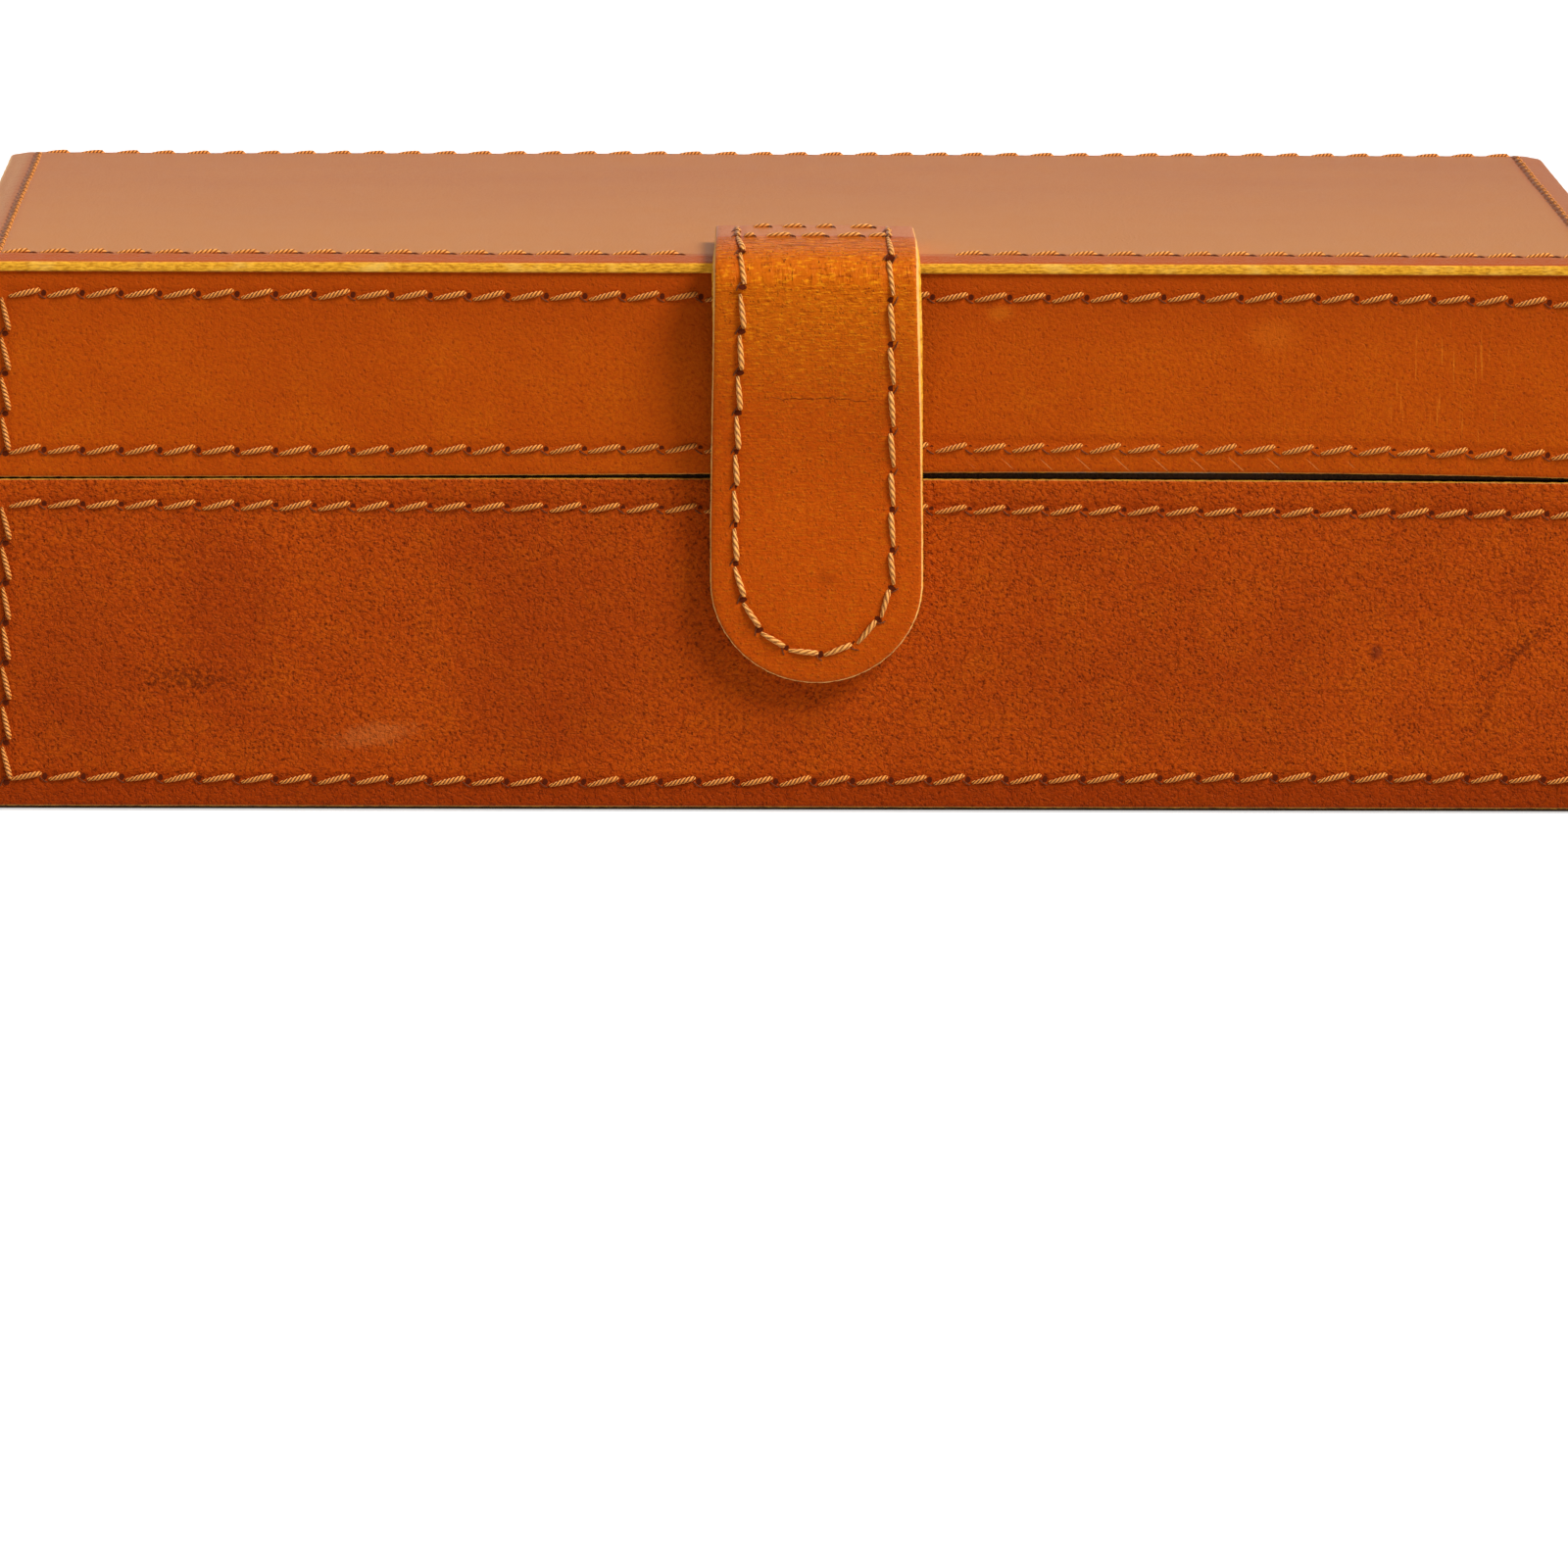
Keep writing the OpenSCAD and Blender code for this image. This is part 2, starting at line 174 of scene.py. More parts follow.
def stretched(tree, place, stretch):
    """A place, stretched by a factor along each axis."""
    return put(tree, "ShaderNodeMapping", {"Vector": place, "Scale": stretch}).outputs[0]


def object_place(tree, stretch=(1, 1, 1)):
    """The place on a piece in metres, stretched by a factor along each axis."""
    return stretched(tree, put(tree, "ShaderNodeTexCoord").outputs["Object"], stretch)


def blended_tint(tree, share, first, second):
    """A colour that goes from the first to the second as the share goes from 0 to 1."""
    made = put(tree, "ShaderNodeMix", {"Factor": share}, data_type="RGBA")
    for socket, value in ((made.inputs[6], first), (made.inputs[7], second)):
        if isinstance(value, bpy.types.NodeSocket):
            tree.links.new(value, socket)
        else:
            socket.default_value = (*value, 1)
    return made.outputs[2]


def stepped(tree, value, low, high, start=0.0, end=1.0):
    """A value that is turned smoothly from one range into another."""
    feeds = {"Value": value, "From Min": low, "From Max": high, "To Min": start, "To Max": end}
    made = put(tree, "ShaderNodeMapRange", feeds, interpolation_type="SMOOTHSTEP")
    return made.outputs["Result"]


def noise_of(tree, place, scale, detail=3.0, roughness=0.5):
    """Cloudy noise at a place."""
    feeds = {"Vector": place, "Scale": scale, "Detail": detail, "Roughness": roughness}
    return put(tree, "ShaderNodeTexNoise", feeds).outputs["Fac"]


def bumped(tree, height, distance):
    """A normal that follows a height."""
    feeds = {"Height": height, "Distance": distance}
    return put(tree, "ShaderNodeBump", feeds).outputs["Normal"]


def dress(material, *names):
    """Gives a material to pieces of the frame."""
    for name in names:
        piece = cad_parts[name]
        for slot in piece.material_slots:
            slot.link = "OBJECT"
            slot.material = material


board, tree = new_material("greyboard")
fleck = noise_of(tree, object_place(tree), 1500, 4.0, 0.7)
layer = noise_of(tree, object_place(tree, (60, 60, 2600)), 1.0, 2.0)
flecked = stepped(tree, fleck, 0.35, 0.7)
finish_material(tree, {
    "Base Color": blended_tint(tree, flecked, (0.33, 0.25, 0.17), (0.52, 0.42, 0.3)),
    "Roughness": stepped(tree, layer, 0, 1, 0.75, 0.95),
    "Normal": bumped(tree, maths(tree, "ADD", fleck, layer), 0.00008),
})
wall_names = ("front", "back", "left", "right")
dress(board, "base_bottom_board", *(f"base_{side}_board" for side in wall_names))
dress(board, "lid_roof_board", "lid_crown_card", *(f"lid_{side}_board" for side in wall_names))

# ---- The lining ----
# Floor, ceiling and walls are lined with thin dark suede, turned over the rims. Its nap is brushed
# one way and is lighter where it has been stroked flat.

# Its very dark tint is partly painted shade: its turned rims show in the narrow gap at the parting, which it
# makes read black
suede, tree = new_material("suede")
stroke = noise_of(tree, object_place(tree, (30, 9, 30)), 1.0, 3.0)
nap = noise_of(tree, object_place(tree), 2600, 3.0, 0.7)
stroked = stepped(tree, stroke, 0.3, 0.7)
shade = blended_tint(tree, stroked, (0.022, 0.011, 0.006), (0.042, 0.022, 0.012))
finish_material(tree, {
    "Base Color": blended_tint(tree, stepped(tree, nap, 0.3, 0.75), shade, (0.062, 0.034, 0.019)),
    "Roughness": stepped(tree, nap, 0.2, 0.8, 0.85, 1.0),
    "Specular IOR Level": 0.03,
    "Sheen Weight": 0.03,
    "Sheen Roughness": 0.4,
    "Normal": bumped(tree, nap, 0.00018),
})
dress(suede, "base_floor_lining", *(f"base_{side}_lining" for side in wall_names))
dress(suede, "lid_roof_lining", *(f"lid_{side}_lining" for side in wall_names))

# ---- The sheet under the base ----
# A dark sheet of hard leather, flesh side down and set in from the walls, so that the walls' own
# leather clears the table by less than a millimetre and never scuffs.

flesh, tree = new_material("sole_flesh")
hair = noise_of(tree, object_place(tree, (900, 500, 900)), 1.0, 4.0, 0.7)
cloud = noise_of(tree, object_place(tree), 30, 3.0)
raised = stepped(tree, hair, 0.3, 0.7)
finish_material(tree, {
    "Base Color": blended_tint(tree, raised, (0.1, 0.052, 0.026), (0.19, 0.105, 0.055)),
    "Roughness": stepped(tree, cloud, 0.2, 0.8, 0.8, 0.95),
    "Specular IOR Level": 0.2,
    "Normal": bumped(tree, hair, 0.00015),
})
dress(flesh, "base_sole")

# ---- The clasp's metal ----
# A turned steel disc let into the front board, and a nickel-plated magnet between the two layers
# of the strap. Both are out of sight.


def metal(name, tint, roughness, scratch_depth):
    """Plain metal with the fine scratches of handling."""
    made, tree = new_material(name)
    scratch = noise_of(tree, object_place(tree, (4000, 4000, 250)), 1.0, 2.0)
    darker = tuple(0.8 * part for part in tint)
    finish_material(tree, {
        "Base Color": blended_tint(tree, scratch, tint, darker),
        "Metallic": 1.0,
        "Roughness": stepped(tree, scratch, 0.2, 0.8, roughness, roughness + 0.15),
        "Normal": bumped(tree, scratch, scratch_depth),
    })
    return made


dress(metal("turned_steel", (0.56, 0.57, 0.58), 0.3, 0.00004), "keeper_disc")
dress(metal("nickel_plate", (0.72, 0.69, 0.64), 0.14, 0.00001), "strap_magnet")

# ---- The wall leathers ----
# Each wall of the base and of the lid has its own panel of vegetable-tanned leather, cut square,
# glued to the board and sewn all round. The grain side is tan and waxed, the cut edges are raw and
# yellow. The thread pulls the panel in along its seam, so the field swells and the margin droops.

# Sizes are in millimetres from here on, and MM turns them into metres.
leather_t = 1.3
seam_margin = 4.0
stitch_pitch = 5.3
seam_pull = 0.17
seam_shade = 0.8
swell_reach = 11.0
arris_wear = 0.16
wall_droop = 0.1
edge_round = 0.15
corner_round = 0.9
grid_step = 0.9
rim_depth = 7.5
rim_step = 0.42


def soft_step(value):
    """0 below 0, 1 above 1, and smooth between them."""
    t = np.clip(value, 0, 1)
    return t * t * (3 - 2 * t)


def bell(distance, width):
    """1 at distance 0, and down to about a third at the width."""
    return np.exp(-((distance / width) ** 2))


def drift(run, seed):
    """A slow wander along a line, about 1 high."""
    return 0.6 * np.sin(run / 17.0 + seed) + 0.4 * np.sin(run / 6.3 + 2.1 * seed)


def grid_lines(half):
    """Places of the lines across a panel, close together in its rim and even between the rims."""
    edge = half - edge_round
    rim = np.linspace(0, rim_depth, round(rim_depth / rim_step) + 1)
    rim = np.insert(rim, 1, edge_round)
    inner = edge - rim_depth
    field = np.linspace(-inner, inner, max(2, round(2 * inner / grid_step)) + 1)
    return np.concatenate((rim - edge, field[1:-1], (edge - rim)[::-1]))


def smooth_through(values, run, half):
    """The smooth curve through five values, spread evenly from one end of a side to the other."""
    places = np.linspace(-1, 1, 5)
    return np.polyval(np.polyfit(places, values, 4), np.clip(run / half, -1, 1))


class Seam:
    """The closed seam of a panel: how far in it runs from each edge, in millimetres."""

    def __init__(self, half_a, half_b, margins=None, seed=0.0):
        self.half = (half_a, half_b)
        self.margins = {side: [seam_margin] * 5 for side in ("top", "bottom", "left", "right")}
        self.margins.update(margins or {})
        self.seed = seed

    def depth(self, side, run):
        """How far in the row on one side lies, at a place along that side."""
        half = self.half[0] if side in ("top", "bottom") else self.half[1]
        margin = smooth_through(self.margins[side], run, half)
        return margin + 0.06 * drift(run, self.seed + len(side))

    def inside(self, a, b):
        """Distance of a place inside the seam, and its place along the nearest row."""
        half_a, half_b = self.half
        gaps = np.stack((
            half_b - b - self.depth("top", a),
            half_b + b - self.depth("bottom", a),
            half_a + a - self.depth("left", b),
            half_a - a - self.depth("right", b),
        ))
        nearest = gaps.argmin(axis=0)
        length = np.where(nearest < 2, 2 * (half_a - seam_margin), 2 * (half_b - seam_margin))
        run = np.where(nearest < 2, a, b)
        pitch = length / np.maximum(1, np.round(length / stitch_pitch))
        return gaps.min(axis=0), (run + length / 2) / pitch


def relief(seam, a, b, swell, droop, seed):
    """Height of a sewn panel's grain side over its flat face, in millimetres."""
    inside, count = seam.inside(a, b)
    edge = np.minimum(seam.half[0] - np.abs(a), seam.half[1] - np.abs(b))
    at_hole = 0.5 + 0.5 * np.cos(2 * math.pi * count)
    height = swell * soft_step(inside / swell_reach)
    height -= droop * soft_step((seam_margin - edge) / seam_margin)
    # The thread pulls the leather in, most at a hole, and the margin puckers from stitch to stitch
    height -= seam_pull * (0.65 + 0.35 * at_hole) * bell(inside, 0.62)
    height += 0.07 * (0.5 - at_hole) * bell(inside + 1.3, 1.1)
    # No hide is quite flat, and its cut edge is rubbed round
    height += 0.045 * (drift(a * 0.9 + b * 0.5, seed) + drift(b * 1.4 - a * 0.3, seed + 2))
    height -= arris_wear * np.exp(-(edge - edge_round) / 0.22)
    return height


def round_off(a, b, half_a, high, low, radius_a, radius_b):
    """Rounds a rectangle's corners: each corner square, mapped onto a quarter of a disc.

    A low of minus infinity leaves the lower corners square.
    """
    across = np.clip((np.abs(a) - (half_a - radius_a)) / radius_a, 0, 1)
    up = np.clip((b - (high - radius_b)) / radius_b, 0, 1)
    down = np.clip((low + radius_b - b) / radius_b, 0, 1)
    along = np.maximum(up, down)
    new_across = across * np.sqrt(1 - along**2 / 2)
    new_along = along * np.sqrt(1 - across**2 / 2)
    a = np.sign(a) * (np.abs(a) + (new_across - across) * radius_a)
    shift = (new_along - along) * radius_b
    return a, b + np.where(up > 0, shift, -shift)


def store(mesh, name, values):
    """Keeps one value for each point of a mesh, and 0 for the points past the last value."""
    full = np.zeros(len(mesh.vertices))
    full[: values.size] = values.ravel()
    mesh.attributes.new(name, "FLOAT", "POINT").data.foreach_set("value", full)


def strip_between(upper, lower):
    """The faces between two closed rings of points."""
    return np.stack((np.roll(upper, -1), upper, lower, np.roll(lower, -1)), axis=1)


def sheet_mesh(name, lines, outline, height, place, thick, flare=None, tag=0.0, recess=(), bends=False):
    """A sheet of leather as one closed mesh.

    lines are the grid's lines along both of its directions, outline bends the grid's flat shape,
    height is its grain side's relief, and place puts (a, b, height) into the box's frame. All are
    in millimetres. flare is how far the cut edge leans out at its foot, and recess lists the rings
    of a hollow in its underside, each by its distance in from the edge and its depth. A sheet that
    bends has its underside as a grid as well.
    """
    grid = np.meshgrid(*lines, indexing="ij")
    rows, columns = grid[0].shape
    flat_a, flat_b = (flat.ravel() for flat in outline(*grid))
    tops = height(*grid).ravel()
    number = np.arange(rows * columns).reshape(rows, columns)
    loop = np.concatenate((number[:, 0], number[-1, 1:], number[-2::-1, -1], number[0, -2:0:-1]))
    rim = np.stack((flat_a[loop], flat_b[loop]))
    ahead = np.roll(rim, -1, axis=1) - np.roll(rim, 1, axis=1)
    out = np.stack((ahead[1], -ahead[0])) / np.maximum(np.hypot(*ahead), 1e-9)
    run = np.concatenate(([0], np.cumsum(np.hypot(*np.diff(rim, axis=1)))))
    lean = flare(*rim) if flare else 0.0

    # Each layer of points: flat place, height, way along and down the cut edge, and how bare it is
    rim_run = np.zeros(rows * columns)
    rim_run[loop] = run
    rim_bare = np.zeros(rows * columns)
    rim_bare[loop] = 0.3
    layers = [(flat_a, flat_b, tops, rim_run, 0.0, rim_bare)]
    for outset, share, bare in (
        (0.1, 0.08, 0.75), (edge_round, 0.3, 1.0), (0.12, 0.6, 1.0), (0.1, 0.88, 1.0), (0.02, 1.0, 1.0),
    ):
        fray = 0.03 * np.sin(run * 3.1 + tag) + 0.025 * np.sin(run * 7.7 + share * 9)
        a, b = rim + out * (outset + fray + lean * share)
        level = tops[loop] + (-thick - tops[loop]) * share
        layers.append((a, b, level, run, share * thick, bare))
    reach = np.abs(rim).max(axis=1, keepdims=True)
    for inset, depth in recess:
        a, b = rim * (reach - inset) / reach
        layers.append((a, b, 0 * a - depth, run, thick, 1.0))
    rings = len(layers) - 1
    if bends:
        layers.append((flat_a, flat_b, 0 * flat_a - thick, 0.0, 0.0, 0.0))

    quads = np.stack((number[:-1, :-1], number[1:, :-1], number[1:, 1:], number[:-1, 1:]), axis=-1)
    quads = quads.reshape(-1, 4)
    faces = [quads]
    upper = loop
    for ring in range(rings):
        lower = rows * columns + ring * len(loop) + np.arange(len(loop))
        faces.append(strip_between(upper, lower))
        upper = lower
    if bends:
        underside = rows * columns + rings * len(loop)
        faces += [quads[:, ::-1] + underside, strip_between(upper, loop + underside)]
    faces = [tuple(face) for face in np.concatenate(faces).tolist()]
    if not bends:
        faces.append(tuple(upper[::-1].tolist()))

    points = np.concatenate([place(a, b, level) for a, b, level, *_ in layers])
    mesh = bpy.data.meshes.new(name)
    mesh.from_pydata((points * MM).tolist(), [], faces)
    mesh.shade_smooth()
    corner = np.zeros(len(mesh.loops), dtype=np.int64)
    mesh.loops.foreach_get("vertex_index", corner)
    flats = np.concatenate([np.stack((a, b), axis=1) for a, b, *_ in layers])
    mesh.uv_layers.new(name="hide").data.foreach_set("uv", (flats[corner] * MM).ravel())
    store(mesh, "cut", np.concatenate([0 * a + bare for a, *_, bare in layers]))
    edge_run = np.concatenate([
        np.stack((0 * a + along, 0 * a + depth, 0 * a), axis=1) for a, _, _, along, depth, _ in layers
    ])
    ply = mesh.attributes.new("edge_run", "FLOAT_VECTOR", "POINT")
    ply.data.foreach_set("vector", (edge_run * MM).ravel())
    return mesh


def add_piece(name, mesh, material):
    """Puts a finished mesh into the scene as a piece of the box."""
    mesh.materials.append(material)
    made = bpy.data.objects.new(name, mesh)
    scene.collection.objects.link(made)
    return made


class Wall:
    """A standing or lying panel: its place in the box, its seam and its relief."""

    def __init__(self, name, middle, across, up, half_a, half_b, swell, droop, margins=None, bows=None):
        self.name = name
        self.bows = bows or {}
        self.middle = np.array(middle)
        self.across = np.array(across)
        self.up = np.array(up)
        self.out = np.cross(self.across, self.up)
        self.half = (half_a, half_b)
        self.swell = swell
        self.droop = droop
        self.thick = leather_t
        self.recess = ()
        self.tag = float(sum(map(ord, name)) % 50)
        self.seam = Seam(half_a, half_b, margins, self.tag)

    def place(self, a, b, height):
        """A place on the panel, in millimetres of the box's frame."""
        flat = np.outer(a, self.across) + np.outer(b, self.up) + np.outer(height, self.out)
        return self.middle + flat

    def height(self, a, b):
        """Height of the grain side at a place."""
        return relief(self.seam, a, b, self.swell, self.droop, self.tag)

    def mesh(self):
        """The panel's leather."""
        lines = tuple(grid_lines(half) for half in self.half)
        ends = tuple(half - edge_round for half in self.half)

        def outline(a, b):
            flat_a, flat_b = round_off(a, b, ends[0], ends[1], -ends[1], corner_round, corner_round)
            for side, sign in (("top", 1), ("bottom", -1)):
                share = soft_step((sign * b / ends[1] + 1) / 2)
                flat_b = flat_b + share * smooth_through(self.bows.get(side, [0] * 5), a, ends[0])
            return flat_a, flat_b

        made = sheet_mesh(
            self.name, lines, outline, self.height, self.place, self.thick, tag=self.tag,
            recess=self.recess)
        inside, _ = self.seam.inside(*np.meshgrid(*lines, indexing="ij"))
        store(made, "seam", bell(inside, seam_shade))
        store(made, "margin", soft_step(-inside / 1.5))
        return made


surface_outputs = (("Color", "Color"), ("Roughness", "Float"), ("Height", "Float"))


def add_sockets(tree, in_out, sockets):
    """Gives a node group its inputs or outputs, each by its name, its kind and its usual value."""
    for name, kind, *usual in sockets:
        made = tree.interface.new_socket(name, in_out=in_out, socket_type=f"NodeSocket{kind}")
        if usual:
            made.default_value = usual[0]


def times(tree, *shares):
    """The product of two or more shares."""
    product = shares[0]
    for share in shares[1:]:
        product = maths(tree, "MULTIPLY", product, share)
    return product


def laid_over(tree, tint, colour, *shares):
    """A tint with a colour laid over it, as thickly as the product of the shares says."""
    return blended_tint(tree, times(tree, *shares), tint, colour)


def split(tree, vector):
    """The three parts of a place or a colour, as X, Y and Z."""
    return put(tree, "ShaderNodeSeparateXYZ", {"Vector": vector}).outputs


def hide_group():
    """The look of tanned and waxed grain leather, as a group for every leather of the box."""
    tree = bpy.data.node_groups.new("tanned_grain", "ShaderNodeTree")
    add_sockets(tree, "INPUT", (
        ("Place", "Vector"), ("Ground", "Color", (0.5, 0.09, 0.005, 1)),
        ("Deep", "Color", (0.3, 0.04, 0.004, 1)), ("Pale", "Color", (0.6, 0.16, 0.01, 1)),
        ("Dark", "Color", (0.16, 0.016, 0.002, 1)), ("Cloud", "Float", 0.6), ("Pebble", "Float", 0.5),
        ("Pore", "Float", 0.5), ("Scratch", "Float", 0.3), ("Gloss", "Float", 0.42),
    ))
    add_sockets(tree, "OUTPUT", surface_outputs)
    given = put(tree, "NodeGroupInput").outputs
    place = given["Place"]
    broad = noise_of(tree, place, 34, 4.0, 0.55)
    cloud = noise_of(tree, place, 170, 4.0, 0.6)
    lump = noise_of(tree, place, 720, 3.0, 0.6)
    fine = noise_of(tree, place, 1900, 3.0, 0.7)
    warp = put(tree, "ShaderNodeTexNoise", {"Vector": place, "Scale": 800.0, "Detail": 2.0})
    shift = put(tree, "ShaderNodeVectorMath", {0: warp.outputs["Color"], "Scale": 0.0009}, operation="SCALE")
    bent = put(tree, "ShaderNodeVectorMath", {0: place, 1: shift.outputs[0]}, operation="ADD").outputs[0]

    # The net of fine grooves between the pebbles, broken up into short ticks
    feeds = {"Vector": stretched(tree, bent, (0.7, 1.0, 1.0)), "Scale": 1700.0}
    groove = put(tree, "ShaderNodeTexVoronoi", feeds, feature="DISTANCE_TO_EDGE").outputs["Distance"]
    plateau = stepped(tree, groove, 0.0, 0.3)
    broken = stepped(tree, noise_of(tree, place, 1500, 2.0), 0.44, 0.62)
    tick = times(tree, stepped(tree, groove, 0.04, 0.2, 1.0, 0.0), broken, given["Pebble"])

    # Pores, which stand closer together in some parts of the hide
    dots = put(tree, "ShaderNodeTexVoronoi", {"Vector": bent, "Scale": 1500.0}, feature="F1").outputs
    often = maths(tree, "MULTIPLY_ADD", broad, -1.0, 1.02)
    chosen = maths(tree, "SUBTRACT", split(tree, dots["Color"])["X"], often)
    chosen = stepped(tree, chosen, -0.05, 0.15)
    pore = times(tree, stepped(tree, dots["Distance"], 0.16, 0.36, 1.0, 0.0), chosen, given["Pore"])

    # Light scratches from the bench, all about one way
    stroke_place = put(tree, "ShaderNodeMapping", {
        "Vector": place, "Rotation": (0, 0, 0.35), "Scale": (1300.0, 60.0, 1.0),
    }).outputs[0]
    stroke = noise_of(tree, stroke_place, 1.0, 2.0, 0.5)
    where = stepped(tree, noise_of(tree, place, 45, 2.0), 0.52, 0.66)
    scratch = times(tree, stepped(tree, stroke, 0.66, 0.74), where, given["Scratch"])

    swollen = times(tree, stepped(tree, lump, 0.46, 0.66), given["Pebble"])
    tint = given["Ground"]
    for colour, *shares in (
        ("Deep", stepped(tree, broad, 0.36, 0.74), given["Cloud"]),
        ("Pale", stepped(tree, cloud, 0.4, 0.78), given["Cloud"]),
        ("Deep", stepped(tree, fine, 0.4, 0.68, 0.0, 0.8)),
        ("Deep", swollen, 0.36),
        ("Dark", tick, 0.5),
        ("Dark", pore, 0.85),
        ("Pale", scratch, 0.5),
    ):
        tint = laid_over(tree, tint, given[colour], *shares)
    height = times(tree, plateau, 0.2, given["Pebble"])
    for share, rise in ((swollen, -0.65), (fine, 0.85), (tick, -0.5), (pore, -0.9), (scratch, -0.4)):
        height = maths(tree, "MULTIPLY_ADD", share, rise, height)
    rough = maths(tree, "MULTIPLY_ADD", cloud, 0.12, given["Gloss"])
    rough = maths(tree, "MULTIPLY_ADD", pore, 0.2, rough)
    put(tree, "NodeGroupOutput", {"Color": tint, "Roughness": rough, "Height": height})
    return tree


def raw_edge_group():
    """The look of a raw cut edge: yellow fibre in loose layers and a painted highlight on its arris, as a
    group.
    """
    tree = bpy.data.node_groups.new("raw_cut_edge", "ShaderNodeTree")
    add_sockets(tree, "INPUT", (("Run", "Vector"), ("Fresh", "Float"), ("Rim", "Float")))
    add_sockets(tree, "OUTPUT", surface_outputs)
    given = put(tree, "NodeGroupInput").outputs
    run = given["Run"]
    fibre = noise_of(tree, stretched(tree, run, (900.0, 2600.0, 1.0)), 1.0, 4.0, 0.65)
    blot = noise_of(tree, run, 150, 4.0)
    tint = blended_tint(tree, stepped(tree, fibre, 0.34, 0.62), (0.52, 0.19, 0.01), (0.95, 0.47, 0.035))
    tint = laid_over(tree, tint, (1.0, 0.62, 0.13), stepped(tree, blot, 0.5, 0.72, 0.0, 0.6))
    # A painted highlight along the arris of the cut edge
    rim = stepped(tree, split(tree, run)["Y"], 0.00012, 0.0003, 1.0, 0.0)
    tint = laid_over(tree, tint, (0.95, 0.58, 0.24), rim, given["Rim"])
    tint = blended_tint(tree, given["Fresh"], (0.22, 0.075, 0.006), tint)
    rough = stepped(tree, fibre, 0, 1, 0.95, 0.75)
    put(tree, "NodeGroupOutput", {"Color": tint, "Roughness": rough, "Height": fibre})
    return tree


def kept_value(tree, name, output="Fac"):
    """What a piece's mesh keeps under a name, such as how near its cut edge a point lies."""
    return put(tree, "ShaderNodeAttribute", attribute_name=name).outputs[output]


grain = hide_group()
raw_edge = raw_edge_group()


def leather(
        name, ground, deep, pale, values, bump=0.00016, extra=None, fresh=1.0, edge_share=0.14,
        seam_share=0.45, rim=0.0, haze=0.0):
    """One leather of the box: grain on its face, raw fibre on its cut edge, dark along its seam and margin.

    extra lays the wear and the painted light of one piece over the grain. fresh is how yellow the cut edge
    still is, rim how strong the painted highlight on its arris, and haze how much wax bloom lies on the face.
    """
    made, tree = new_material(name)
    place = put(tree, "ShaderNodeUVMap", uv_map="hide").outputs[0]
    offset = float(sum(map(ord, name)) % 17)
    moved = put(tree, "ShaderNodeMapping", {"Vector": place, "Location": (offset, 0.37 * offset, 0)})
    tints = {"Ground": (*ground, 1), "Deep": (*deep, 1), "Pale": (*pale, 1)}
    face = put(tree, "ShaderNodeGroup", node_tree=grain)
    fibre = put(tree, "ShaderNodeGroup", node_tree=raw_edge)
    edge_values = {"Fresh": fresh, "Rim": rim}
    for group, settings in ((face, {**tints, **values}), (fibre, edge_values)):
        for key, value in settings.items():
            group.inputs[key].default_value = value
    tree.links.new(moved.outputs[0], face.inputs["Place"])
    tree.links.new(kept_value(tree, "edge_run", "Vector"), fibre.inputs["Run"])
    tint = face.outputs["Color"]
    height = face.outputs["Height"]
    if extra:
        tint, height = extra(tree, place, tint, height)
    # Seam and margin take the deep colour: partly the leather pressed darker by the thread, partly painted
    # shade in the seam's groove and on the drooping margin
    tint = laid_over(tree, tint, deep, kept_value(tree, "seam"), seam_share)
    tint = laid_over(tree, tint, deep, kept_value(tree, "margin"), edge_share)
    ragged = maths(tree, "MULTIPLY_ADD", fibre.outputs["Height"], 0.6, -0.3)
    frayed = maths(tree, "ADD", kept_value(tree, "cut"), ragged)
    bare = stepped(tree, frayed, 0.42, 0.7)
    tint = laid_over(tree, tint, (0.8, 0.42, 0.12), stepped(tree, frayed, 0.24, 0.4, 0.0, 0.5))
    tint = laid_over(tree, tint, fibre.outputs["Color"], bare)
    gloss = put(tree, "ShaderNodeMix", {0: bare, 2: face.outputs["Roughness"], 3: fibre.outputs["Roughness"]})
    depth = put(tree, "ShaderNodeMix", {0: bare, 2: height, 3: fibre.outputs["Height"]})
    finish_material(tree, {
        "Base Color": tint,
        "Roughness": gloss.outputs[0],
        "Specular IOR Level": 0.25,
        "Specular Tint": (1.0, 0.4, 0.06, 1),
        "Sheen Weight": haze,
        "Sheen Roughness": 0.35,
        "Sheen Tint": (1.0, 0.7, 0.32, 1),
        "Normal": bumped(tree, depth.outputs[0], bump),
    })
    return made


def blotch(tree, place, spot, radii, turn=0.0, soft=0.6, torn=0.0):
    """A mask that is 1 inside a soft oval mark at a spot of the panel, given in millimetres."""
    centred = put(tree, "ShaderNodeMapping", {
        "Vector": place,
        "Location": (spot[0] * MM, spot[1] * MM, 0),
        "Rotation": (0, 0, math.radians(turn)),
        "Scale": (radii[0] * MM, radii[1] * MM, 1.0),
    }, vector_type="TEXTURE").outputs[0]
    ragged = noise_of(tree, place, 420, 4.0, 0.7)
    reach = put(tree, "ShaderNodeVectorMath", {0: centred}, operation="LENGTH").outputs["Value"]
    reach = maths(tree, "MULTIPLY_ADD", maths(tree, "SUBTRACT", ragged, 0.5), 1.6, reach)
    if torn:
        shred = maths(tree, "SUBTRACT", noise_of(tree, place, 1500, 2.0, 0.6), 0.46)
        reach = maths(tree, "MULTIPLY_ADD", shred, torn, reach)
    return stepped(tree, reach, 1.0 - soft, 1.0 + soft, 1.0, 0.0)


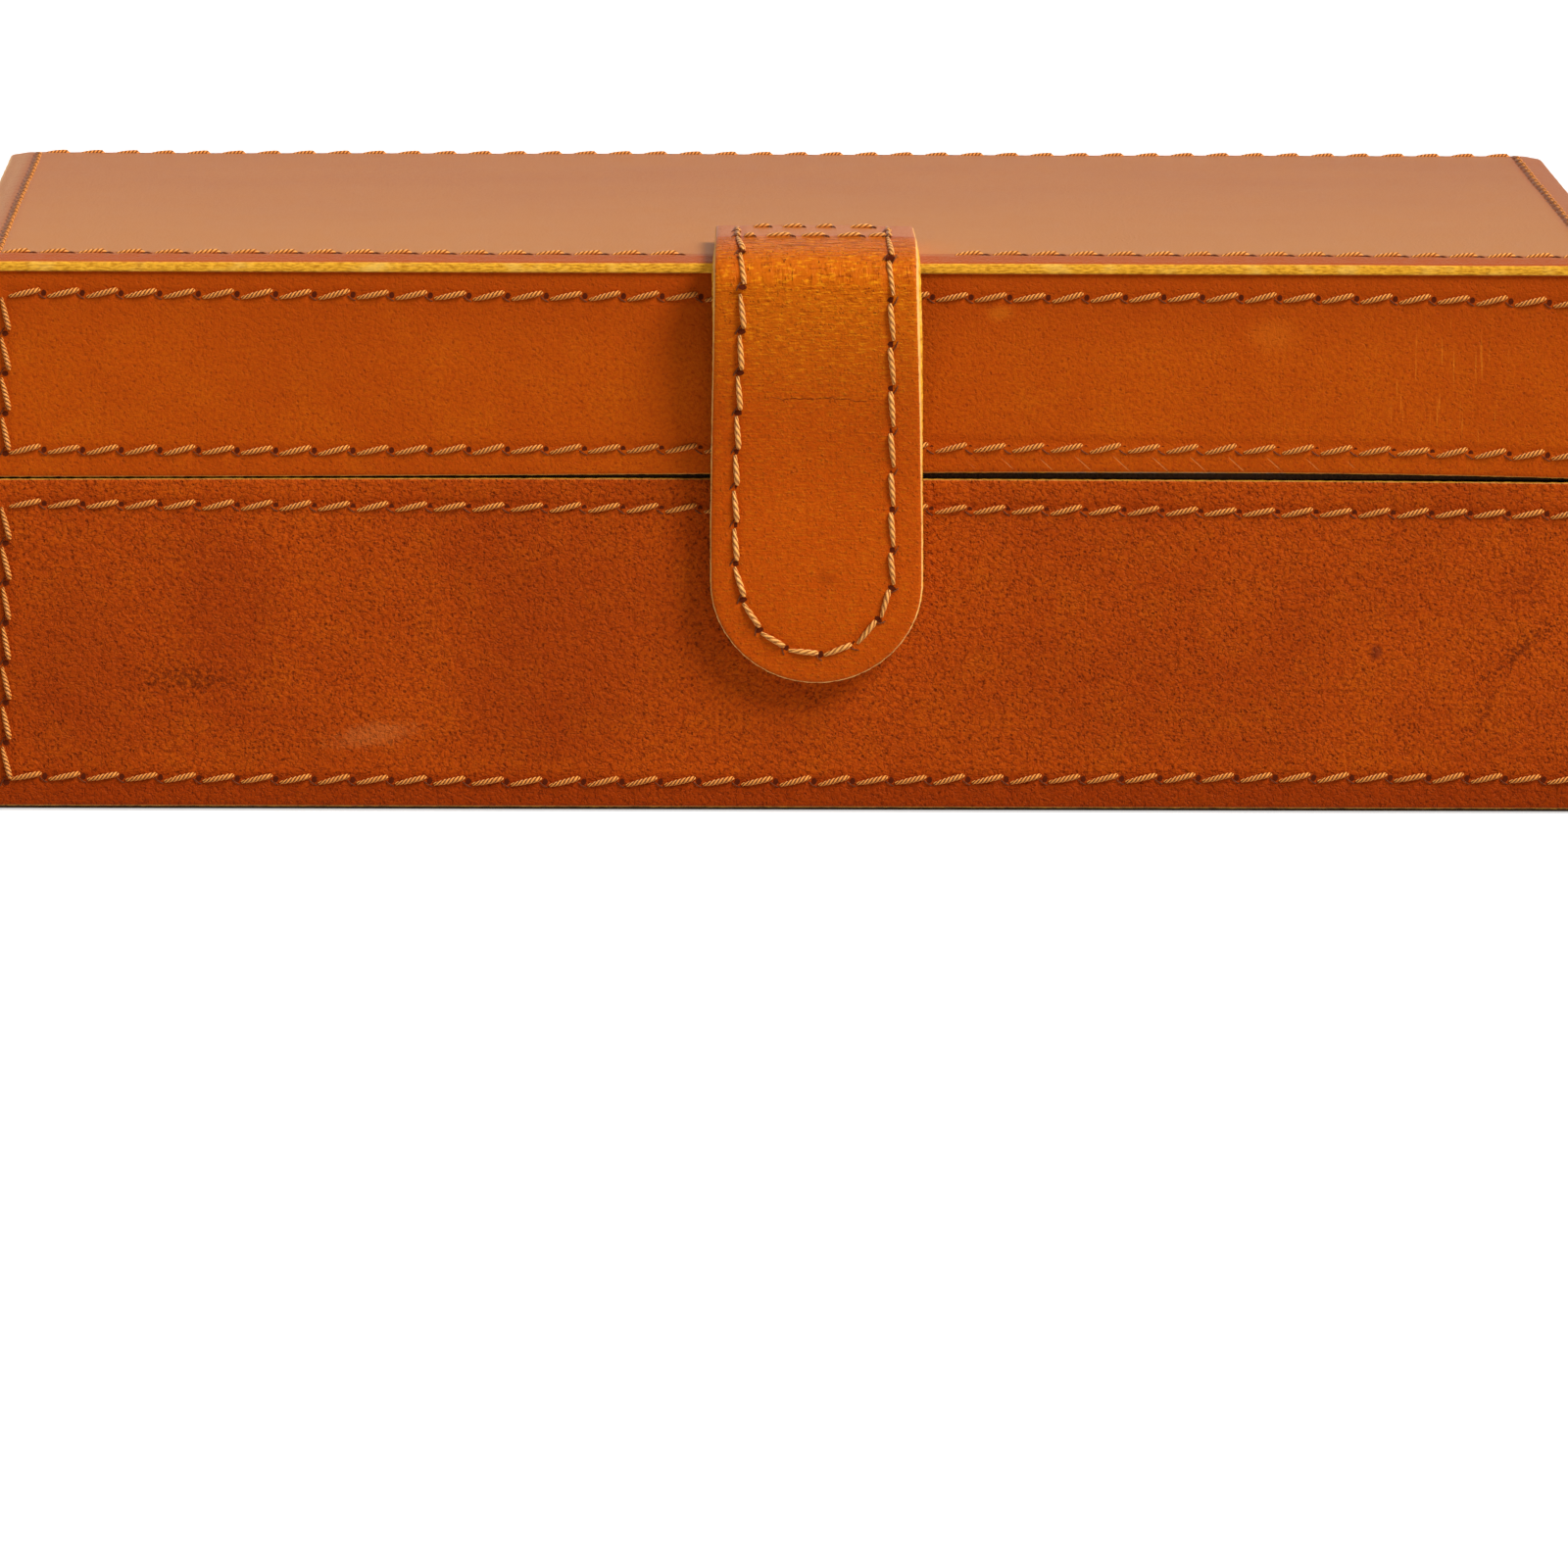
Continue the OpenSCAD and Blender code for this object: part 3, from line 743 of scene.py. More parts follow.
def base_wear_and_shade(tree, place, tint, height):
    """What use has left on the base's front, darker patches, rubs, a spot and a scrape, and painted shade at
    its foot.

    Each mark has its spot, its radii, its turn in degrees, how torn its rim is, how thickly it lies
    and its colour.
    """
    for spot, radii, turn, torn, share, colour in (
        ((-79.0, 5.0), (9.0, 13.0), 8, 3.0, 0.5, (0.25, 0.021, 0.002)),
        ((-100.0, -2.0), (9.0, 12.0), 0, 1.0, 0.45, (0.27, 0.026, 0.002)),
        ((-32.0, 1.0), (14.0, 15.0), 20, 0.0, 0.42, (0.27, 0.026, 0.002)),
        ((-58.7, -12.7), (5.5, 1.5), 8, 2.0, 0.35, (0.55, 0.15, 0.03)),
        ((-84.0, -5.0), (5.5, 1.3), -4, 8.0, 0.65, (0.11, 0.012, 0.002)),
        ((80.8, -0.8), (0.75, 0.85), 0, 0.0, 0.7, (0.12, 0.014, 0.006)),
        ((100.8, -0.5), (4.8, 0.9), 41, 9.0, 0.8, (0.13, 0.013, 0.002)),
        ((96.0, -9.0), (2.6, 0.6), 62, 9.0, 0.6, (0.16, 0.016, 0.002)),
        ((101.5, 9.0), (1.8, 3.4), -30, 9.0, 0.5, (0.2, 0.02, 0.002)),
    ):
        tint = laid_over(tree, tint, colour, blotch(tree, place, spot, radii, turn, torn=torn), share)
    # Painted shade: the base front is painted darker towards its foot, near the floor
    foot = stepped(tree, split(tree, place)["Y"], -20.5 * MM, -17 * MM, 0.7, 0.0)
    return laid_over(tree, tint, (0.24, 0.02, 0.001), foot), height


def lid_wear_and_shade(tree, place, tint, height):
    """What use has left on the lid's front, fine upright scratches and the sewing foot's nicks, and painted
    shade under the top's overhang.
    """
    upright = noise_of(tree, stretched(tree, place, (2300.0, 110.0, 1.0)), 1.0, 2.0, 0.5)
    upright = times(tree, stepped(tree, upright, 0.6, 0.72), blotch(tree, place, (90.0, 0.5), (7.5, 12.0)))
    tint = laid_over(tree, tint, (0.72, 0.2, 0.012), upright, 0.5)
    across, up, _ = split(tree, place)
    slant = maths(tree, "MULTIPLY_ADD", up, 1.1, across)
    comb = maths(tree, "PINGPONG", slant, 0.5 * stitch_pitch * MM)
    band = blotch(tree, place, (51.0, -12.15), (24.0, 0.95), 0, 0.3)
    nick = times(tree, stepped(tree, comb, 0.05 * MM, 0.16 * MM, 1.0, 0.0), band)
    tint = laid_over(tree, tint, (0.75, 0.27, 0.07), nick, 0.55)
    for spot, radii, share, colour in (
        ((28.0, 8.8), (1.6, 1.0), 0.6, (0.66, 0.17, 0.008)),
        ((66.0, 6.0), (3.0, 2.0), 0.4, (0.62, 0.13, 0.006)),
        ((47.0, 9.0), (4.0, 1.0), 0.3, (0.33, 0.035, 0.002)),
        ((-70.0, 3.0), (14.0, 6.0), 0.3, (0.35, 0.04, 0.002)),
    ):
        tint = laid_over(tree, tint, colour, blotch(tree, place, spot, radii), share)
    # Painted shade under the overhang of the lid top: darker towards the top edge
    painted_overhang_shade = stepped(tree, up, 0.0, 12.5 * MM)
    tint = laid_over(tree, tint, (0.34, 0.04, 0.002), painted_overhang_shade, 0.55)
    return tint, maths(tree, "MULTIPLY_ADD", nick, -0.5, height)


base_values = {"Cloud": 0.55, "Pebble": 0.85, "Pore": 0.85, "Scratch": 0.4, "Gloss": 0.46}
base_tints = ((0.48, 0.066, 0.0027), (0.29, 0.028, 0.0018), (0.5, 0.09, 0.0025))
lid_values = {"Cloud": 0.5, "Pebble": 0.3, "Pore": 0.35, "Scratch": 0.4, "Gloss": 0.44}
lid_tints = ((0.5, 0.078, 0.0022), (0.38, 0.044, 0.002), (0.55, 0.108, 0.0025))
wall_leathers = {
    ("base", "plain"): leather("base_wall_leather", *base_tints, base_values, fresh=0.45),
    ("base", "front"): leather(
        "base_front_leather", *base_tints, base_values, extra=base_wear_and_shade, fresh=0.45, edge_share=0.0),
    ("lid", "plain"): leather("lid_wall_leather", *lid_tints, lid_values, fresh=0.45),
    ("lid", "front"): leather("lid_front_leather", *lid_tints, lid_values, extra=lid_wear_and_shade, fresh=0.45),
}
# The front seams wander and the edges at the parting bow, at five places from left to right.
front_seams = {
    "base": {"top": (3.25, 3.6, 3.75, 4.0, 4.25), "bottom": (4.2, 3.7, 3.7, 4.3, 3.9)},
    "lid": {"top": (3.2, 3.25, 3.4, 3.3, 4.2), "bottom": (3.85, 3.85, 4.25, 4.3, 3.25)},
}
front_bows = {
    "base": {"top": (0.1, 0.35, 0.43, 0.36, 0.12)},
    "lid": {"bottom": (-0.1, 0.2, 0.68, 0.93, 0.08)},
}


def corners_of(node):
    """A node's lowest and highest corner, in millimetres."""
    return [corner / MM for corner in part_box(node)]


base_low, base_high = corners_of("base_front_leather")
lid_low, lid_high = corners_of("lid_front_leather")
side_low, side_high = corners_of("base_left_leather")
out_x = -side_low.x
out_y = -base_low.y
board_x = base_high.x
side_middle = (side_low.y + side_high.y) / 2
side_half = (side_high.y - side_low.y) / 2
walls = {}
for part, low, high, swell in (
    ("base", base_low.z, base_high.z, 0.22),
    ("lid", lid_low.z, lid_high.z, 0.2),
):
    middle_z = (low + high) / 2
    half_z = (high - low) / 2
    for side, x, y, across, half_a, front_shape in (
        ("front", 0, -out_y, (1, 0, 0), board_x, (front_seams[part], front_bows[part])),
        ("left", -out_x, side_middle, (0, -1, 0), side_half, ()),
        ("right", out_x, side_middle, (0, 1, 0), side_half, ()),
    ):
        wall = Wall(
            f"{part}_{side}_panel", (x, y, middle_z), across, (0, 0, 1), half_a, half_z,
            swell, wall_droop, *front_shape)
        walls[part, side] = wall
        material = wall_leathers[part, "front" if side == "front" else "plain"]
        panel = add_piece(wall.name, wall.mesh(), material)
        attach(panel, part)
        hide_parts(f"{part}_{side}_leather")

# ---- The back leather ----
# The walls' back is one sheet from the foot of the base to the top of the lid. It isn't glued
# along the parting, where a shallow valley is worn into it: there it flexes as the lid's hinge.

back_low = corners_of("base_back_leather")[0]
back_high = corners_of("lid_back_leather")[1]
hinge_low, hinge_high = corners_of("hinge_leather")
hinge_z = (hinge_low.z + hinge_high.z) / 2
valley_depth = 0.28
valley_width = 1.6
flex_rows = 19
for part, low, high in (("base", base_low.z, base_high.z), ("lid", lid_low.z, lid_high.z)):
    walls[part, "back"] = Wall(
        f"{part}_back_seam", (0, out_y, (low + high) / 2), (-1, 0, 0), (0, 0, 1),
        out_x, (high - low) / 2, 0.2, wall_droop)


def back_height(a, b):
    """Height of the back leather: each half has its own seam, and the valley lies between them."""
    z = b + hinge_z
    height = np.zeros_like(z)
    for part, here in (("base", z <= hinge_z), ("lid", z > hinge_z)):
        wall = walls[part, "back"]
        height += np.where(here, wall.height(a, z - wall.middle[2]), 0)
    near = bell(z - hinge_z, valley_width)
    return height * (1 - near) - valley_depth * near


def back_place(a, b, height):
    """A place on the back leather, in millimetres of the box's frame."""
    return np.stack((-a, out_y + height, b + hinge_z), axis=1)


def back_lines():
    """Grid lines up the back: a panel's own lines on each half, and close ones over the hinge."""
    ends = []
    for part in ("base", "lid"):
        wall = walls[part, "back"]
        ends.append(grid_lines(wall.half[1]) + wall.middle[2] - hinge_z)
    reach = hinge_high.z - hinge_z
    flex = np.linspace(-reach, reach, flex_rows)
    return np.concatenate((ends[0][ends[0] < -reach - 0.1], flex, ends[1][ends[1] > reach + 0.1]))


back_grid = (grid_lines(out_x), back_lines())
low_end = back_low.z - hinge_z + edge_round
high_end = back_high.z - hinge_z - edge_round
back_mesh = sheet_mesh(
    "back_panel", back_grid,
    lambda a, b: round_off(a, b, out_x - edge_round, high_end, low_end, corner_round, corner_round),
    back_height, back_place, leather_t, tag=3.0, bends=True)
flat_a, flat_b = np.meshgrid(*back_grid, indexing="ij")
near_seam = np.zeros_like(flat_a)
for part, here in (("base", flat_b <= 0), ("lid", flat_b > 0)):
    wall = walls[part, "back"]
    inside, _ = wall.seam.inside(flat_a, flat_b + hinge_z - wall.middle[2])
    near_seam += np.where(here, bell(inside, seam_shade), 0)
store(back_mesh, "seam", near_seam)
# The hinge's valley takes the margin's darker colour: partly its worn leather, partly painted shade in the
# valley
store(back_mesh, "margin", bell(flat_b, 1.5))
back_panel = add_piece("back_panel", back_mesh, wall_leathers["lid", "plain"])
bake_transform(back_panel)
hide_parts("base_back_leather", "hinge_leather", "lid_back_leather")

# ---- The lid's top leather ----
# The largest panel lies over the tops of the four walls and stands a hair proud of them, so its
# raw edge makes the yellow line round the lid. A card under it fills out its field, and its margin
# slopes down from the seam to the edge.

top_high = corners_of("lid_top_leather")[1]
card_low, card_high = corners_of("lid_crown_card")
crown_h = card_high.z - card_low.z
top_seam_margin = 4.4
card_slope = 2.2
rim_lift = 0.2
top_margins = {side: [top_seam_margin] * 5 for side in ("top", "bottom", "left", "right")}
top_wall = Wall(
    "lid_top_panel", (0, 0, top_high.z), (1, 0, 0), (0, 1, 0),
    top_high.x, top_high.y, 0.0, crown_h - rim_lift, top_margins)
top_wall.thick = leather_t + crown_h
card_inset = top_high.x - card_high.x
top_wall.recess = ((card_inset, top_wall.thick), (card_inset + card_slope, leather_t))


def top_painted_light(tree, place, tint, height):
    """Painted light: the lid top is painted paler towards its front edge."""
    painted_front_light = stepped(tree, split(tree, place)["Y"], -80 * MM, 60 * MM, 0.55, 0.0)
    return laid_over(tree, tint, (0.62, 0.175, 0.012), painted_front_light), height


# The lid top's margin is laid much darker: partly its own colour, partly painted shade on its slope down to
# the edge
lid_top_grain = leather(
    "lid_top_leather", (0.5, 0.103, 0.004), (0.36, 0.028, 0.001), (0.57, 0.155, 0.008),
    {"Cloud": 0.3, "Pebble": 0.12, "Pore": 0.2, "Scratch": 0.2, "Gloss": 0.42}, extra=top_painted_light,
    edge_share=0.72, seam_share=0.85, haze=0.66)
top_panel = add_piece(top_wall.name, top_wall.mesh(), lid_top_grain)
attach(top_panel, "lid")
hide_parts("lid_top_leather")

# ---- The strap ----
# Two strips of leather, sewn together round the edge: a glossy outer strip, grain side out, and a
# thinner backing, flesh side in. It is sewn to the lid, bends over its front edge and hangs down.

strap_low, strap_high = corners_of("strap_anchor")
backing_low, backing_high = corners_of("strap_anchor_backing")
tongue_low, tongue_high = corners_of("strap_tongue_backing")
strap_x = (strap_low.x + strap_high.x) / 2
strap_half = (strap_high.x - strap_low.x) / 2
backing_t = backing_high.z - backing_low.z
strap_t = strap_high.z - strap_low.z + backing_t
field_z = backing_low.z
edge_y = -backing_low.y
anchor_len = backing_high.y - backing_low.y
bend_top = tongue_high.z
tip_z = tongue_low.z
bend_r = field_z - bend_top
bend_off = edge_y - out_y + bend_r
tongue_gap = 1.0
settle_z = base_high.z - 3.0  # below this the tongue hangs straight
tip_len = 14.0
strap_margin = 4.0
seam_x = -0.34
seam_half = 10.83
edge_slope_run = 4.2
edge_slope_drop = 0.28
edge_slope_end = 1.3
bend_rows = 60
crease_from_tip = 41.6


def tongue_off(z):
    """Distance of the tongue's inner face from the front leather: it eases in from the bend."""
    share = np.clip((z - settle_z) / (bend_top - settle_z), 0, 1)
    return tongue_gap + (bend_off - tongue_gap) * (1 - np.cos(math.pi * share)) / 2


def strap_side_view():
    """The strap's inner face as a line in (y, z): flat, over the lid's sloping edge, and down."""
    hang_y = -edge_y - bend_r
    # The bend's four handles: where it starts, the slope of the lid's edge, and straight down
    handles = np.array((
        (-edge_y + edge_slope_run, field_z),
        (-edge_y + edge_slope_end, field_z - edge_slope_drop),
        (hang_y, bend_top + 2.0),
        (hang_y, bend_top),
    ))
    t = np.linspace(0, 1, bend_rows)[:, None]
    bend = sum(k * (1 - t) ** (3 - i) * t**i * handles[i] for i, k in enumerate((1, 3, 3, 1)))
    down = np.linspace(bend_top, tip_z, 120)[1:]
    tongue = np.stack((-out_y - tongue_off(down), down), axis=1)
    return np.concatenate(([(-edge_y + anchor_len, field_z)], bend, tongue))


strap_line = strap_side_view()
strap_run = np.concatenate(([0], np.cumsum(np.hypot(*np.diff(strap_line, axis=0).T))))
strap_len = strap_run[-1]
flat_end = strap_run[1]
hang_start = strap_run[bend_rows]
steps = np.diff(strap_line, axis=0)
strap_lean_angle = np.arctan2(-steps[:, 1], -steps[:, 0])
strap_mid_run = (strap_run[1:] + strap_run[:-1]) / 2


def strap_place(a, b, height):
    """A place on the strap: a across it, b from its back end, height over its inner face."""
    turn = np.interp(b, strap_mid_run, strap_lean_angle)
    y = np.interp(b, strap_run, strap_line[:, 0]) - height * np.sin(turn)
    z = np.interp(b, strap_run, strap_line[:, 1]) + height * np.cos(turn)
    wander = np.interp(b, (0, 17, 25, 45, 75), (-0.1, -0.25, -0.42, -0.2, 0.0))
    return np.stack((strap_x + wander + a, y, z), axis=1)


def strap_width(b):
    """Share of the nominal width: the strap was cut slightly narrower at its sewn end."""
    return np.interp(b, (0, 15, 26, 45, 60), (0.94, 0.945, 0.955, 0.985, 1.0))


def strap_outline(extra):
    """Bends a rectangle into the strap's flat shape, with extra width where its edge leans out."""
    def outline(a, b):
        half = strap_half - edge_round
        a, b = round_off(a, b, half, strap_len - edge_round, -math.inf, half, tip_len - edge_round)
        a = a * strap_width(b)
        return a + extra * strap_lean(a, b) * np.clip(a / half, -1, 1), b
    return outline


def strap_lean(a, b):
    """How far the cut edge leans out: it curls outwards where the strap bends, mostly on the right."""
    right = 0.2 + 0.5 * bell(b - hang_start - 3, 17)
    left = 0.02 + 0.34 * bell(b - hang_start + 2, 7)
    return np.where(a > 0, right, left)


def strap_lines():
    """Grid lines of the strap: rim lines across it, and close lines round the bend and the tip."""
    across = grid_lines(strap_half)
    along = grid_lines(strap_len / 2) + strap_len / 2
    bend_end = hang_start + 3
    bend = np.linspace(flat_end, bend_end, 24)
    keep = (along < flat_end - 0.3) | (along > bend_end + 0.3)
    return across, np.sort(np.concatenate((along[keep], bend)))


def strap_seam_distance(a, b):
    """Distance inside the strap's seam, which runs at the same margin round its tip."""
    across = np.abs(a - seam_x)
    side = seam_half - across
    start = strap_len - tip_len
    ring = np.hypot(across / seam_half, np.maximum(b - start, 0) / (tip_len - strap_margin))
    tip = (1 - ring) * (tip_len - strap_margin)
    return np.where(b > start, tip, side)


def outer_height(a, b):
    """Height of the outer strip's grain side: pulled in along the seam, rounded at the edge."""
    edge = np.minimum(strap_half - np.abs(a), np.minimum(b, strap_len - b))
    inside = strap_seam_distance(a, b)
    height = strap_t - 0.12 * bell(inside, 0.6) + 0.06 * soft_step(inside / 5)
    height -= 0.1 * soft_step(-inside / strap_margin)
    height -= arris_wear * np.exp(-(edge - edge_round) / 0.25)
    return height + 0.03 * drift(b * 1.3 + a, 4.0)


def strap_marks_and_light(tree, place, tint, height):
    """Folds and stretched grain where the strap bends, a crease across it, a smudge, and painted light on its
    flat part and its bend.
    """
    across, along, _ = split(tree, place)

    def streaks(wide, high, low, top):
        streak = noise_of(tree, stretched(tree, place, (wide, high, 1.0)), 1.0, 3.0, 0.6)
        return stepped(tree, streak, low, top)

    def along_from(first, last, *shares):
        return stepped(tree, along, first * MM, last * MM, *shares)

    # Painted light: the flat part is laid paler and yellower, a painted reflection, and the bend a brighter
    # orange, partly its stretched grain and partly a painted highlight
    start = along_from(flat_end - 0.5, flat_end + 1)
    pulled = times(tree, along_from(hang_start - 2, hang_start + 21, 1.0, 0.25), start)
    lying = along_from(flat_end - 1.5, flat_end + 0.5, 0.6, 0.0)
    pale = times(tree, streaks(700.0, 3800.0, 0.5, 0.66), pulled)
    dark = times(tree, streaks(520.0, 4400.0, 0.48, 0.32), pulled)
    end = along_from(flat_end + 4, flat_end + 8, 1.0, 0.12)
    fold = times(tree, streaks(150.0, 2600.0, 0.5, 0.64), start, end)
    feeds = {"Vector": place, "Scale": 1700.0}
    dots = put(tree, "ShaderNodeTexVoronoi", feeds, feature="F1").outputs["Distance"]
    patches = streaks(700.0, 700.0, 0.42, 0.58)
    pore = times(tree, stepped(tree, dots, 0.1, 0.24, 1.0, 0.0), pulled, patches)

    # One thin crease across the middle of the hanging part, which wavers and fades at both ends
    waver = noise_of(tree, put(tree, "ShaderNodeCombineXYZ", {0: across}).outputs[0], 260, 3.0)
    level = maths(tree, "MULTIPLY_ADD", waver, -2.6 * MM, along)
    level = maths(tree, "SUBTRACT", level, (strap_len - crease_from_tip) * MM)
    crease = stepped(tree, maths(tree, "ABSOLUTE", level), 0.02 * MM, 0.1 * MM, 1.0, 0.0)
    reach = maths(tree, "ABSOLUTE", maths(tree, "SUBTRACT", across, 1 * MM))
    crease = times(
        tree, crease, stepped(tree, reach, 4 * MM, 9 * MM, 1.0, 0.0), streaks(900.0, 10.0, 0.36, 0.5))
    smudge = blotch(tree, place, (1.4, strap_len - 14.6), (1.3, 0.8))

    # The folds and the crease are laid darker, partly their pressed grain and partly painted shade in them
    for colour, *shares in (
        ((0.56, 0.19, 0.02), lying),
        ((0.74, 0.2, 0.004), pulled, 0.42),
        ((0.9, 0.31, 0.006), pale, 0.6),
        ((0.27, 0.036, 0.002), dark, 0.8),
        ((0.27, 0.05, 0.003), fold, 0.6),
        ((0.16, 0.025, 0.002), pore, 0.8),
        ((0.22, 0.03, 0.002), crease, 0.7),
        ((0.24, 0.03, 0.002), smudge, 0.4),
    ):
        tint = laid_over(tree, tint, colour, *shares)
    for share, rise in ((crease, -1.0), (pore, -0.6), (fold, -0.8)):
        height = maths(tree, "MULTIPLY_ADD", share, rise, height)
    return tint, height


strap_grain = leather(
    "strap_leather", (0.51, 0.057, 0.002), (0.38, 0.04, 0.0016), (0.58, 0.09, 0.0026),
    {"Cloud": 0.5, "Pebble": 0.35, "Pore": 0.45, "Scratch": 0.1, "Gloss": 0.37}, extra=strap_marks_and_light, rim=0.55)
outer_lines = strap_lines()
outer_mesh = sheet_mesh(
    "strap_outer", outer_lines, strap_outline(0.0), outer_height, strap_place, -backing_t,
    flare=lambda a, b: 0.5 * strap_lean(a, b), tag=1.0, bends=True)
seam_gap = strap_seam_distance(*np.meshgrid(*outer_lines, indexing="ij"))
store(outer_mesh, "seam", bell(seam_gap, 0.7))
store(outer_mesh, "margin", soft_step(-seam_gap / 1.5))
strap_outer = add_piece("strap_outer", outer_mesh, strap_grain)

backing_leather = leather(
    "strap_backing_leather", (0.5, 0.16, 0.03), (0.36, 0.09, 0.014), (0.62, 0.26, 0.07),
    {"Cloud": 0.5, "Pebble": 0.1, "Pore": 0.1, "Scratch": 0.0, "Gloss": 0.75}, bump=0.0002)
backing_mesh = sheet_mesh(
    "strap_backing", strap_lines(), strap_outline(0.5), lambda a, b: 0 * a + backing_t,
    strap_place, 0.0, flare=lambda a, b: 0.5 * strap_lean(a, b), tag=2.0, bends=True)
store(backing_mesh, "seam", 0 * seam_gap)
store(backing_mesh, "margin", 0 * seam_gap)
strap_backing = add_piece("strap_backing", backing_mesh, backing_leather)
for strip in (strap_outer, strap_backing):
    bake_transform(strip)
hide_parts("strap_anchor", "strap_bend", "strap_tongue")
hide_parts("strap_anchor_backing", "strap_bend_backing", "strap_tongue_backing")

# ---- The stitching ----
# Three-ply waxed linen, sewn by a heavy lockstitch machine. The needle pricks a slanted hole, the
# thread dives into it and comes up at the next, and a loop of the finer thread below shows there.


def seam_marks(rows, place, height):
    """Where stitches lie between the holes of rows: middle, way along, way out and length."""
    marks = []
    share = np.linspace(0, 1, 33)[:, None]
    for start, end in (ends for holes in rows for ends in zip(holes[:-1], holes[1:])):
        ab = np.array(start) * (1 - share) + np.array(end) * share
        line = place(ab[:, 0], ab[:, 1], height(ab[:, 0], ab[:, 1]))
        along = line[-1] - line[0]
        centre = (line[0] + line[-1]) / 2
        nearest = np.linalg.norm(line - centre, axis=1).argmin()
        half = ab[nearest:nearest + 1]
        raised = place(half[:, 0], half[:, 1], height(half[:, 0], half[:, 1]) + 1)[0]
        middle = 0.6 * line[nearest] + 0.4 * centre
        marks.append((middle, along, raised - line[nearest], np.linalg.norm(along)))
    return marks


def wall_holes(wall, skip=None):
    """The holes of a panel's four rows, each row from left to right or from top to bottom."""
    half_a, half_b = wall.half
    inner_a = half_a - wall.seam.margins["left"][0]
    inner_b = half_b - wall.seam.margins["top"][0]
    rows = []
    for side in ("top", "bottom"):
        count = round(2 * inner_a / stitch_pitch)
        runs = np.linspace(-inner_a, inner_a, count + 1)
        depth = wall.seam.depth(side, runs)
        levels = half_b - depth if side == "top" else depth - half_b
        row = list(zip(runs, levels))
        if skip and side == "bottom":
            rows.append([spot for spot in row if spot[0] < skip[0]])
            rows.append([spot for spot in row if spot[0] > skip[1]])
        else:
            rows.append(row)
    for side in ("left", "right"):
        count = round(2 * inner_b / stitch_pitch)
        runs = np.linspace(inner_b, -inner_b, count + 1)
        depth = wall.seam.depth(side, runs)
        places = depth - half_a if side == "left" else half_a - depth
        rows.append(list(zip(places, runs)))
    return rows


